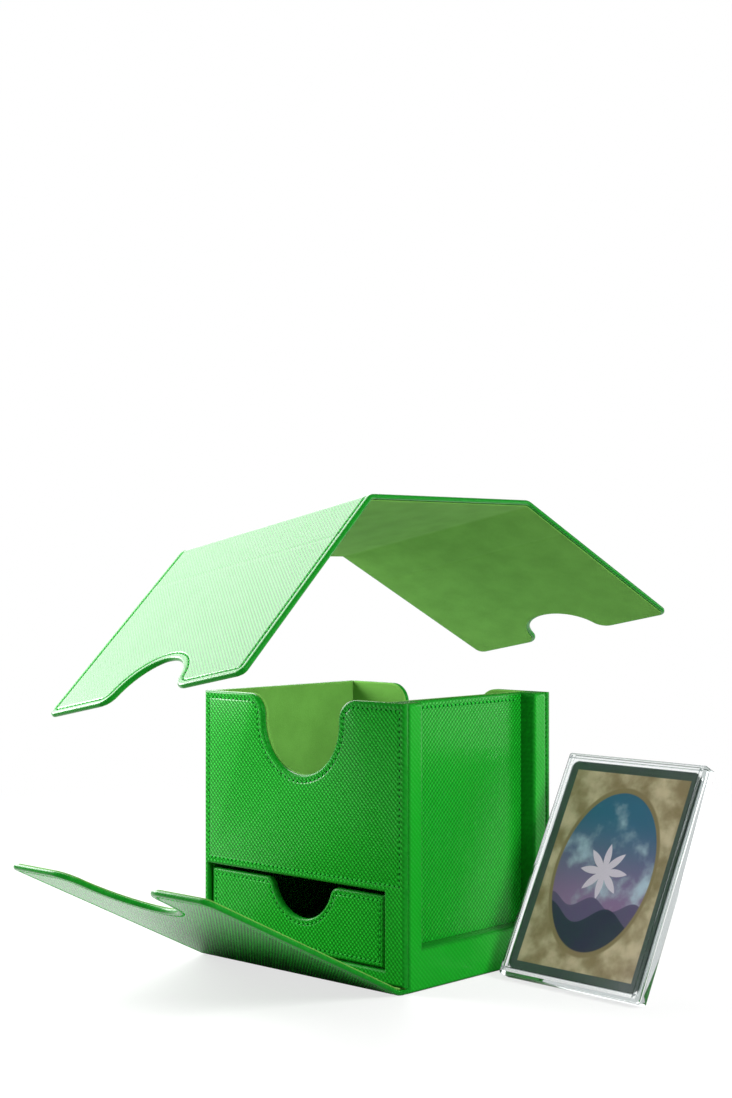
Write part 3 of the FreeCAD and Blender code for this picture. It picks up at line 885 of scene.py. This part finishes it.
def build_thread(graph, shader):
    """Thread: its colour runs from 0.6 to 1.3 of itself with the twist."""
    twist = graph.noise(graph.place(), 4200.0, 1.0)
    dark, pale = ([part * shade for part in settings().stitch.thread] for shade in (0.6, 1.3))
    graph.feed(shader["Base Color"], graph.mix(twist, dark, pale))
    shader["Roughness"].default_value = 0.55
    shader["Specular IOR Level"].default_value = 0.08
    graph.feed(shader["Normal"], graph.bump(twist, 0.05 * MM))


def thread():
    return material("green thread", build_thread)


def build_needle_hole_shade(graph, shader):
    """Needle hole shade: a dark matt colour that paints the shade inside a needle hole, up to twice as
    pale with dust.
    """
    hole = settings().stitch.hole
    dust = graph.noise(graph.place(), 3000.0)
    graph.feed(shader["Base Color"], graph.mix(dust, hole, [part * 2 for part in hole]))
    shader["Roughness"].default_value = 0.9
    shader["Specular IOR Level"].default_value = 0.0


def needle_hole_shade():
    return material("needle hole shade", build_needle_hole_shade)


def build_board(graph, shader):
    """Covered inner board: matt green paper with faint fibres."""
    look = settings().leather
    nap = graph.group(nap_group(), {"Vector": graph.place()})
    graph.feed(shader["Base Color"], graph.mix(nap["Brushed"], look.valley, look.crown))
    shader["Roughness"].default_value = 0.8
    graph.feed(shader["Normal"], graph.bump(nap["Fibres"], 0.05 * MM))


def covered_board():
    return material("green board paper", build_board)


def build_magnet(graph, shader):
    """Nickel-plated magnet, finely brushed."""
    brushed = graph.noise(graph.place(), 1800.0)
    graph.feed(shader["Base Color"], graph.mix(brushed, (0.5, 0.51, 0.52), (0.68, 0.69, 0.7)))
    shader["Metallic"].default_value = 1.0
    graph.feed(shader["Roughness"], graph.math("MULTIPLY_ADD", brushed, 0.2, 0.2))


def magnet():
    return material("nickel", build_magnet)


def build_acrylic(graph, shader, tint):
    """Clear plastic with a faint haze in its polish."""
    haze = graph.ramp(graph.noise(graph.place(), 120.0, 4.0), 0.45, 0.8)
    shader["Base Color"].default_value = (*tint, 1.0)
    graph.feed(shader["Roughness"], graph.math("MULTIPLY", haze, 0.05))
    shader["IOR"].default_value = settings().casing.refraction
    shader["Transmission Weight"].default_value = 1.0


def acrylic():
    tint = settings().casing.tint
    return material("clear acrylic", lambda graph, shader: build_acrylic(graph, shader, tint))


def acrylic_wall():
    tint = settings().casing.wall
    return material("grey acrylic", lambda graph, shader: build_acrylic(graph, shader, tint))


def grey_walls(piece, place):
    """Gives the faces of a clear plate that don't lie flat the greyer plastic."""
    mesh = piece.data
    normals = np.empty(len(mesh.polygons) * 3, np.float32)
    mesh.polygons.foreach_get("normal", normals)
    upright = np.abs(normals.reshape(-1, 3) @ place.axes[2]) < 0.95
    mesh.materials.append(acrylic_wall())
    mesh.polygons.foreach_set("material_index", upright.astype(np.int32))
    return piece


# The card's print, in millimetres: half sizes of the field and the oval, and the star's two radii
FIELD_HALF = (28.0, 40.5)
OVAL_HALF = (23.0, 33.0)
STAR_POINTS = 8
STAR_INNER, STAR_OUTER = 3.5, 11.5

# Two rows of hills: radians per millimetre, start of the wave, its height and its middle
FAR_HILLS = (0.31, 2.0, 2.2, -13.0)
NEAR_HILLS = (0.22, 0.0, 3.5, -18.0)


def hills(graph, x, y, wave):
    """1 below a sine line, 0 above it."""
    turn, start, rise, level = wave
    line = graph.math("SINE", graph.math("MULTIPLY_ADD", x, turn, start))
    line = graph.math("MULTIPLY_ADD", line, rise, level)
    return graph.ramp(graph.math("SUBTRACT", line, y), -0.2, 0.3)


def print_sky(graph, laid, x, y):
    """A star in a cloudy sky over two rows of hills.

    The star's radius swings between its outer and inner one as the angle goes round.
    """
    look, part = settings().casing, graph.math
    clouds = graph.ramp(graph.noise(laid, 0.07, 5.0), 0.48, 0.72)
    sky = graph.mix(graph.ramp(y, -24.0, 26.0), look.dusk, look.sky)
    sky = graph.mix(part("MULTIPLY", clouds, 0.75), sky, look.cloud)
    reach = part("SQRT", part("ADD", part("MULTIPLY", x, x), part("MULTIPLY", y, y)))
    turn = part("MULTIPLY", part("ARCTAN2", y, x), STAR_POINTS / np.pi)
    rim = part("MULTIPLY_ADD", part("PINGPONG", turn, 1.0), STAR_INNER - STAR_OUTER, STAR_OUTER)
    sky = graph.mix(graph.ramp(part("SUBTRACT", rim, reach), -0.2, 0.5), sky, look.star)
    sky = graph.mix(hills(graph, x, y, FAR_HILLS), sky, look.far_hill)
    return graph.mix(hills(graph, x, y, NEAR_HILLS), sky, look.hill)


def build_print(graph, shader):
    """The card's print: an oval picture on a parchment ground, with a dark border."""
    look, part = settings().casing, graph.math
    laid = graph.laid()
    x, y = graph.node("ShaderNodeSeparateXYZ", {0: laid}).outputs[:2]
    ways = [part("ABSOLUTE", way) for way in (x, y)]
    mottled = graph.ramp(graph.noise(laid, 0.09, 6.0), 0.35, 0.7)
    ground = graph.mix(mottled, look.stain, look.ground)
    squares = [part("POWER", part("DIVIDE", way, half), 2.0) for way, half in zip(ways, OVAL_HALF)]
    ring = part("SQRT", part("ADD", *squares))
    design = graph.mix(graph.ramp(ring, 1.04, 1.07), look.stain, ground)
    design = graph.mix(graph.ramp(ring, 0.98, 1.0), print_sky(graph, laid, x, y), design)
    past = [part("SUBTRACT", way, half) for way, half in zip(ways, FIELD_HALF)]
    printed = graph.mix(graph.ramp(part("MAXIMUM", *past), -0.15, 0.15), design, look.border)
    graph.feed(shader["Base Color"], graph.mix(graph.edge(), printed, look.stock))
    shader["Roughness"].default_value = 0.35
    graph.feed(shader["Normal"], graph.bump(graph.noise(laid, 3.0), 0.01 * MM))


def card_print():
    return material("card print", build_print)


def dress(node, finish):
    """Gives a CAD node that stays a procedural material."""
    shown = frame["nodes"][node]
    shown.material_slots[0].material = finish


# Makers of the box's pieces

def notch_of(name):
    notch = settings().notch
    return tuple(getattr(notch, f"{name}_{part}") for part in ("mouth", "depth", "shoulder"))


def make_front():
    """The front: notched edge, drawer window and one sewn line round the field above the window."""
    stitch = settings().stitch
    low, high = FRONT.span("front_panel")
    floor_low, floor_high = FRONT.span("base_board")
    left, right, sill = floor_low[0], floor_high[0], floor_high[1]
    lintel = FRONT.span("shelf")[0][1]
    edge = notched(low, high, notch_of("box"))
    window = polygon([(left, sill), (left, lintel), (right, lintel), (right, sill)])
    field = notched((low[0], lintel), high, notch_of("box"))
    rows = leather_rows(high[2], low[2])
    groove = groove_rows(stitch.inset, stitch.groove, stitch.depth, high[2])
    shell = Shell(FRONT)
    rim = shell.rings(edge, rows, high[2])
    hole = shell.rings(window, rows, high[2])
    sewn = shell.rings(field, groove, high[2])
    shell.cap([rim[0], hole[0], sewn[-1]], True)
    shell.cap([sewn[0]], True)
    shell.cap([rim[-1], hole[-1]], False)
    settle(shell.piece("front_cover", leather("box")), "box", "leatherette", "front_panel")
    line = sewn_line(field, stitch.inset)
    stitching("front_stitching", "box", FRONT, [line], high[2] - stitch.depth)


def make_back():
    """The back: a notched board sewn all round."""
    stitch = settings().stitch
    low, high = BACK.span("back_panel")
    shape = notched((low[0], 0.0), high, notch_of("box"))
    leather_board("back_cover", "box", BACK, "back_panel", shape, stitch.inset)
    line = sewn_line(shape, stitch.inset)
    stitching("back_stitching", "box", BACK, [line], high[2] - stitch.depth)


def make_sides():
    """The left wall and the recess floor, each sewn under its upper edge.

    The seam of the recess floor is as long as the ledge below it.
    """
    inset = settings().stitch.inset
    walls = (
        ("left_cover", LEFT, "left_wall", "left_wall", "box"),
        ("recess_floor", RIGHT, "right_wall", "recess_ledge", "recess"),
    )
    for name, place, node, seam_node, cut in walls:
        low, high = place.span(node)
        leather_board(name, "box", place, node, rectangle((low[0], 0.0), high), cut=cut)
        first, last = place.span(seam_node)
        level = high[1] - inset
        line = np.array([(last[0] - inset, level), (first[0] + inset, level)])
        stitching(f"{name}_stitching", "box", place, [line], high[2])


def make_recess_frame():
    """The raised frame round the recess: two posts and the ledge under one cover."""
    look = settings().leather
    near, far = RIGHT.span("recess_front_post")[0], RIGHT.span("recess_back_post")[1]
    inner, ledge = RIGHT.span("recess_ledge")
    shape = polygon([
        (near[0], 0.0), (far[0], 0.0), (far[0], far[1]), (ledge[0], far[1]),
        (ledge[0], ledge[1]), (inner[0], ledge[1]), (inner[0], far[1]), (near[0], far[1]),
    ])
    rows = edge_rows(far[2], near[2], look.frame_radius, look.seated_radius)
    piece = board("recess_frame", RIGHT, shape, rows, leather("frame"))
    settle(piece, "box", "leatherette", "recess_front_post", "recess_back_post", "recess_ledge")


def make_bottom():
    """The bottom cover, inside the walls' covers and cut square where it runs into the front fold."""
    low, high = BOTTOM.span("bottom_panel")
    under = settings().leather.bottom_inset
    shape = rectangle((low[0] + under, low[1] + under), (high[0] - under, high[1]), (1, 1, 0, 1))
    leather_board("bottom_cover", "box", BOTTOM, "bottom_panel", shape)


def make_compartment():
    """Suede boards inside the deck compartment, and the plain boards under and over the drawer."""
    radius = settings().suede.board_radius
    for name, place in (("front", BACK), ("back", FRONT)):
        node = f"{name}_inner_board"
        low, high = place.span(node)
        shape = notched(low, high, notch_of("box"))
        suede_board(f"{name}_lining_board", "box", place, node, shape, radius)
    for name, place in (("left", RIGHT), ("right", LEFT)):
        node = f"{name}_inner_board"
        suede_board(f"{name}_lining_board", "box", place, node, rectangle(*place.span(node)), radius)
    for node in ("compartment_floor_lining", "bottom_lining"):
        dress(node, suede())
    for node in ("base_board", "shelf"):
        dress(node, covered_board())
    for node in ("front_panel_magnets", "back_panel_magnets"):
        dress(node, magnet())


def make_drawer():
    """The drawer: a sewn and notched front, three walls, a bottom and its lining."""
    stitch = settings().stitch
    low, high = FRONT.span("drawer_front")
    shape = notched(low, high, notch_of("drawer"))
    leather_board("drawer_front_cover", "drawer", FRONT, "drawer_front", shape, stitch.drawer_inset)
    line = sewn_line(shape, stitch.drawer_inset)
    stitching("drawer_stitching", "drawer", FRONT, [line], high[2] - stitch.depth)
    for name, place in (("left_side", LEFT), ("right_side", RIGHT), ("back", BACK), ("bottom", BOTTOM)):
        node = f"drawer_{name}"
        leather_board(f"{node}_cover", "drawer", place, node, rectangle(*place.span(node)))
    shape = rectangle(*TOP.span("drawer_lining"))
    suede_board("drawer_nap", "drawer", TOP, "drawer_lining", shape, settings().suede.edge_radius)


# Makers of the flaps, which are all lined boards on folds

def mirrored(shape):
    """The same outline seen from behind."""
    flip = np.array([-1.0, 1.0])
    points, ways = ((part * flip)[::-1] for part in (shape.points, shape.ways))
    return types.SimpleNamespace(points=points, ways=ways, cuts=[-end for end in shape.cuts])


def flap_nodes(name):
    return f"{name}_cover", f"{name}_lining"


def sewn_flap(name, body, place, shape, lining_shape, lines, cut):
    """A lined board whose cover is sewn along some lines."""
    suede_radius, stitch = settings().suede.edge_radius, settings().stitch
    cover, lining = flap_nodes(name)
    leather_board(f"{name}_leather", body, place, cover, shape, stitch.inset, cut)
    behind = Place(place.origin, -place.axes[0], place.axes[1])
    suede_board(f"{name}_nap", body, behind, lining, mirrored(lining_shape), suede_radius)
    stitching(f"{name}_stitching", body, place, lines, place.span(cover)[1][2] - stitch.depth)


def plain_flap(name, body, place, cut):
    """A board between two folds: cut square at both and sewn along its two sides."""
    inset = settings().stitch.inset
    spans = [place.span(node) for node in flap_nodes(name)]
    shape, lining = (rectangle(*span, (0, 1, 0, 1)) for span in spans)
    low, high = spans[0]
    lines = [np.array([(x, low[1]), (x, high[1])]) for x in (low[0] + inset, high[0] - inset)]
    sewn_flap(name, body, place, shape, lining, lines, cut)


def free_flap(name, place, notch, cut):
    """A board with a free end: notched, round at its corners and sewn along all but its fold."""
    corner, inset = settings().notch.corner, settings().stitch.inset
    (low, high), (nap_low, nap_high) = (place.span(node) for node in flap_nodes(name))
    mouth, depth, shoulder = notch_of(notch)
    tucked = high[0] - nap_high[0]
    shape = notched(low, high, (mouth, depth, shoulder), 0.0, corner)
    lining = notched(nap_low, nap_high, (mouth, depth, shoulder - tucked), 0.0, corner - tucked)
    line = sewn_line(shape, inset, closed=False)
    sewn_flap(name, name, place, shape, lining, [line], cut)


def flap_rows(name, place):
    """The profiles that a flap's cover and lining have beside a fold, and their half widths."""
    stitch, radius = settings().stitch, settings().suede.edge_radius
    (low, high), (nap_low, nap_high) = (place.span(node) for node in flap_nodes(name))
    leather_part = leather_rows(high[2], low[2], stitch.inset)
    nap_part = edge_rows(-nap_low[2], -nap_high[2], radius, radius) * np.array([1.0, -1.0])
    return (leather_part, high[0]), (nap_part, nap_high[0])


def make_fold(name, ends, reach, parts, node, cut, span=(0.0, 1.0), pinch=0.0):
    """The leather and the nap over one fold; the leather stands for the fold's roll.

    A crease is pinched into the nap and hardly shows in the leather.
    """
    (rows, side), (nap_rows, nap_side) = parts
    skin, faint = leather(cut), pinch * CREASE_IN_LEATHER
    strip = fold_strip(f"{name}_leather", ends, reach, rows, side, skin, span, faint)
    if node:
        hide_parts(node)
    lined = fold_strip(f"{name}_nap", ends, reach, nap_rows, nap_side, suede(), span, pinch)


def bend_between(first, second):
    """The angle between two directions of length 1, in radians."""
    return np.arccos(np.clip(np.dot(first, second), -1, 1))


def make_lower_flap():
    """The flap that folds up over the front; its fold is two strips, one on each side of the roll."""
    place = lower_flap_place()
    free_flap("lower_flap", place, "box", "flap")
    dress("lower_flap_magnets", magnet())
    base = Place(place.origin, X_WAY, -Y_WAY)
    ends = (base, -Y_WAY, place, bend_between(place.axes[1], -Y_WAY))
    reach = place.span("lower_flap_cover")[0][1]
    parts = flap_rows("lower_flap", place)
    halves = (
        ("lower_fold_inner", ("box", "lower_fold"), (0.0, 0.5), "lower_fold_roll"),
        ("lower_fold_outer", ("lower_fold", "lower_flap"), (0.5, 1.0), None),
    )
    for name, bodies, span, node in halves:
        make_fold(name, ends, reach, parts, node, "flap", span)


def make_lid_flap(name, top):
    """A flap of the lid: a plain upper board on a fold and a notched lower one on a crease."""
    place = lid_flap_place(name)
    upper, lower = f"lid_{name}_upper", f"lid_{name}_lower"
    fold, crease = f"lid_{name}_fold", f"lid_{name}_crease"
    plain_flap(upper, upper, place, "lid")
    free_flap(lower, place, "lid", "lid")
    dress(f"lid_{name}_magnets", magnet())
    low, high = place.span(f"{upper}_cover")
    reach = low[1]
    parts = flap_rows(upper, place)
    way = top.axes[1] if name == "back" else -top.axes[1]
    ends = (top, way, place, bend_between(place.axes[1], way))
    make_fold(fold, ends, reach, parts, f"{fold}_roll", "lid")
    hinge = Place(place.origin + (high[1] + reach) * place.axes[1], *place.axes[:2])
    ends = (hinge, hinge.axes[1], hinge, 0.0)
    make_fold(crease, ends, reach, parts, f"{crease}_roll", "lid", pinch=CREASE)


def make_lid():
    """The lid: a lined top between two flaps."""
    top = lid_place()
    plain_flap("lid_top", "lid", top, "lid")
    for name in ("front", "back"):
        make_lid_flap(name, top)


# Makers of the clear casing

def make_tray():
    """The casing's back half: a plate with fine edges and a sunk pocket for the card."""
    look, place = settings().casing, casing_place()
    low, high = place.span("casing_back")
    card_low, card_high = place.span("display_card")
    rim_rows = edge_rows(high[2], low[2], look.fine, look.fine)[1:]
    pocket = rounded_rectangle(card_low - look.slack, card_high + look.slack, look.card_corner)
    pocket_rows = np.array([(0.0, card_low[2] - look.card_edge), (0.0, high[2])])
    shell = Shell(place)
    rim = shell.rings(rounded_rectangle(low, high, look.corner), rim_rows, high[2])
    sunk = shell.rings(pocket, pocket_rows, high[2])
    shell.cap([rim[0], sunk[-1]], True)
    shell.cap([sunk[0]], True)
    shell.cap([rim[-1]], False)
    tray = grey_walls(shell.piece("casing_tray", acrylic()), place)
    settle(tray, "casing", "clear_acrylic", "casing_back")


def make_window():
    """The casing's front half: a plate with a fine cut line, a slanted edge and straight sides."""
    look, place = settings().casing, casing_place()
    low, high = place.span("casing_front")
    line, fine, bevel, top = look.line, look.fine, look.bevel, high[2]
    rows = np.array([
        (line + fine * 2, top), (line + fine, top - fine), (line, top),
        (bevel + fine, top), (bevel, top - fine * 0.2), (fine * 0.3, top - bevel),
        (0.0, top - bevel - fine), (0.0, low[2] + fine), (fine, low[2]), (fine + SUPPORT, low[2]),
    ])
    shape = rounded_rectangle(low, high, look.corner)
    window = grey_walls(board("casing_window", place, shape, rows, acrylic()), place)
    settle(window, "casing_cover", "clear_acrylic", "casing_front")


def make_card():
    """The card: its print is laid from the card's middle, and its sides and back are plain stock."""
    look, place = settings().casing, casing_place()
    low, high = place.span("display_card")
    shape = rounded_rectangle(low, high, look.card_corner)
    rows = edge_rows(high[2], low[2], look.card_edge, look.card_edge)
    shell = Shell(place)
    numbers = shell.rings(shape, rows, high[2])
    shell.cap([numbers[0]], True)
    shell.cap([numbers[-1]], False)
    middle = (low + high)[:2] / 2
    shell.grain = [grain - middle for grain in shell.grain]
    bare = rows[:, 1] < (low[2] + high[2]) / 2
    shell.edge = [np.repeat(bare, len(shape.points)).astype(float)]
    settle(shell.piece("display_print", card_print()), "casing", "card", "display_card")


# Makers of the stage

# Name, place, diameter and power in watts of each lamp, and the point that they face
LAMPS = (
    ("key", (1.15, -0.08, 0.85), 0.6, 17.5),
    ("fill", (-0.3, -0.22, 0.24), 0.22, 2.3),
    ("sheen", (-1.15, 0.4, 0.8), 1.6, 20.0),
    ("side", (0.75, 0.85, 0.12), 0.8, 5.0),
)
LAMPS_AIM = (0.02, -0.02, 0.09)
FLOOR_RADIUS = 12.0
SENSOR_WIDTH = 36.0


def make_camera():
    look, scene = settings().stage, bpy.context.scene
    lens = bpy.data.cameras.new("camera")
    lens.lens = look.lens
    lens.sensor_width = SENSOR_WIDTH
    lens.clip_start = 0.01
    camera = bpy.data.objects.new("camera", lens)
    camera.location = look.eye
    camera.rotation_euler = np.radians([90.0 + look.pitch, 0.0, look.yaw])
    scene.collection.objects.link(camera)
    scene.camera = camera


def make_lamps():
    for name, place, size, power in LAMPS:
        lamp = bpy.data.lights.new(name, "AREA")
        lamp.shape = "DISK"
        lamp.size = size
        lamp.energy = power
        held = bpy.data.objects.new(name, lamp)
        held.location = place
        way = Vector(LAMPS_AIM) - Vector(place)
        held.rotation_euler = way.to_track_quat("-Z", "Y").to_euler()
        bpy.context.scene.collection.objects.link(held)


def make_floor():
    """A round floor: radius times the cosine and sine of the angle."""
    angle = np.radians(np.arange(0, 360, 3))
    rim = FLOOR_RADIUS * np.stack([np.cos(angle), np.sin(angle), 0 * angle], axis=1)
    mesh = bpy.data.meshes.new("floor")
    mesh.from_pydata(rim.tolist(), [], [list(range(len(rim)))])
    mesh.materials.append(floor_finish())
    floor = bpy.data.objects.new("floor", mesh)
    bpy.context.scene.collection.objects.link(floor)


def floor_finish():
    """Pale floor that keeps its shadow and is mostly plain white where it is seen.

    In reflections it carries painted shade under the object and is nearly white a hand's breadth away.
    """
    look = settings().stage
    made = bpy.data.materials.new("pale floor")
    made.use_nodes = True
    graph = Graph(made.node_tree)
    shader = made.node_tree.nodes["Principled BSDF"]
    shader.inputs["Roughness"].default_value = 0.9
    shader.inputs["Specular IOR Level"].default_value = 0.0
    white = graph.node("ShaderNodeEmission", {"Color": (1.0, 1.0, 1.0), "Strength": 1.0})
    rays = graph.node("ShaderNodeLightPath").outputs
    place = graph.node("ShaderNodeTexCoord").outputs["Object"]
    distance = graph.node("ShaderNodeVectorMath", {0: place}, operation="LENGTH").outputs["Value"]
    # Glossy rays near the object see the floor in a dark colour: painted shade under the object
    clear = graph.ramp(distance, look.floor_reach * 0.1, look.floor_reach * 0.23)
    in_mirror = graph.math("MULTIPLY", rays["Is Glossy Ray"], clear)
    under = graph.math("SUBTRACT", rays["Is Glossy Ray"], in_mirror)
    tone = graph.mix(rays["Is Diffuse Ray"], look.floor, look.bounce)
    graph.feed(shader.inputs["Base Color"], graph.mix(under, tone, look.floor_shade_in_mirror))
    seen = graph.math("MAXIMUM", rays["Is Camera Ray"], rays["Is Transmission Ray"])
    away = graph.ramp(distance, look.floor_reach * 0.3, look.floor_reach)
    glow = graph.math("MULTIPLY_ADD", away, 1.0 - look.floor_glow, look.floor_glow)
    direct = graph.math("MULTIPLY", seen, glow)
    share = graph.math("MAXIMUM", direct, graph.math("MULTIPLY", in_mirror, look.mirror_glow))
    both = graph.node("ShaderNodeMixShader", {0: share, 1: shader.outputs[0], 2: white.outputs[0]})
    output = made.node_tree.nodes["Material Output"]
    made.node_tree.links.new(both.outputs[0], output.inputs["Surface"])
    return made


def make_world():
    """White to the camera, dim in reflections and a plain soft dome for everything else."""
    look = settings().stage
    world = bpy.data.worlds.new("studio")
    world.use_nodes = True
    graph = Graph(world.node_tree)
    rays = graph.node("ShaderNodeLightPath").outputs
    plain = graph.math("MULTIPLY_ADD", rays["Is Glossy Ray"], look.mirror - look.dome, look.dome)
    direct = graph.math("MAXIMUM", rays["Is Camera Ray"], rays["Is Transmission Ray"])
    dimmer = graph.math("SUBTRACT", 1.0, plain)
    sky = world.node_tree.nodes["Background"].inputs
    sky["Color"].default_value = (1.0, 1.0, 1.0, 1.0)
    graph.feed(sky["Strength"], graph.math("MULTIPLY_ADD", direct, dimmer, plain))
    bpy.context.scene.world = world


# Operators

class DECKBOX_OT_box(bpy.types.Operator):
    """Make the box's covers, lining boards and stitching"""

    bl_idname = "deck_box.make_box"
    bl_label = "Box"
    bl_options = {"REGISTER", "UNDO"}

    def execute(self, context):
        make_front()
        make_back()
        make_sides()
        make_recess_frame()
        make_bottom()
        make_compartment()
        return {"FINISHED"}


class DECKBOX_OT_drawer(bpy.types.Operator):
    """Make the drawer: a sewn and notched front, three walls, a bottom and its lining"""

    bl_idname = "deck_box.make_drawer"
    bl_label = "Drawer"
    bl_options = {"REGISTER", "UNDO"}

    def execute(self, context):
        make_drawer()
        return {"FINISHED"}


class DECKBOX_OT_lower_flap(bpy.types.Operator):
    """Make the flap that folds up over the front, and the fold that carries it"""

    bl_idname = "deck_box.make_lower_flap"
    bl_label = "Lower flap"
    bl_options = {"REGISTER", "UNDO"}

    def execute(self, context):
        make_lower_flap()
        return {"FINISHED"}


class DECKBOX_OT_lid(bpy.types.Operator):
    """Make the lid: its lined top, two creased flaps and the folds between them"""

    bl_idname = "deck_box.make_lid"
    bl_label = "Lid"
    bl_options = {"REGISTER", "UNDO"}

    def execute(self, context):
        make_lid()
        return {"FINISHED"}


class DECKBOX_OT_casing(bpy.types.Operator):
    """Make the clear casing's two halves and the card between them"""

    bl_idname = "deck_box.make_casing"
    bl_label = "Clear casing"
    bl_options = {"REGISTER", "UNDO"}

    def execute(self, context):
        make_tray()
        make_window()
        make_card()
        return {"FINISHED"}


class DECKBOX_OT_stage(bpy.types.Operator):
    """Make the camera, the pale floor and the soft lights"""

    bl_idname = "deck_box.make_stage"
    bl_label = "Stage"
    bl_options = {"REGISTER", "UNDO"}

    def execute(self, context):
        context.scene.view_settings.view_transform = "Standard"
        make_camera()
        make_floor()
        make_world()
        make_lamps()
        return {"FINISHED"}


class DECKBOX_PT_sidebar(bpy.types.Panel):
    """The deck box's makers and settings"""

    bl_idname = "DECKBOX_PT_sidebar"
    bl_label = "Deck box"
    bl_space_type = "VIEW_3D"
    bl_region_type = "UI"
    bl_category = "Deck box"

    def draw(self, context):
        for operator in OPERATORS:
            self.layout.operator(operator.bl_idname)
        for part in ("leather", "suede", "stitch", "notch", "casing", "stage"):
            group = getattr(settings(), part)
            column = self.layout.column(heading=part.title())
            for key in group.__annotations__:
                column.prop(group, key)


GROUPS = (
    LeatherSettings, SuedeSettings, StitchSettings, NotchSettings, CasingSettings, StageSettings,
    DeckBoxSettings,
)
OPERATORS = (
    DECKBOX_OT_box, DECKBOX_OT_drawer, DECKBOX_OT_lower_flap, DECKBOX_OT_lid, DECKBOX_OT_casing,
    DECKBOX_OT_stage,
)


def register():
    for kind in GROUPS + OPERATORS + (DECKBOX_PT_sidebar,):
        bpy.utils.register_class(kind)
    bpy.types.Scene.deck_box = bpy.props.PointerProperty(type=DeckBoxSettings)


def unregister():
    del bpy.types.Scene.deck_box
    for kind in reversed(GROUPS + OPERATORS + (DECKBOX_PT_sidebar,)):
        bpy.utils.unregister_class(kind)


def main():
    register()
    bpy.ops.deck_box.make_box()
    bpy.ops.deck_box.make_drawer()
    bpy.ops.deck_box.make_lower_flap()
    bpy.ops.deck_box.make_lid()
    bpy.ops.deck_box.make_casing()
    bpy.ops.deck_box.make_stage()


if __name__ == "__main__":
    main()
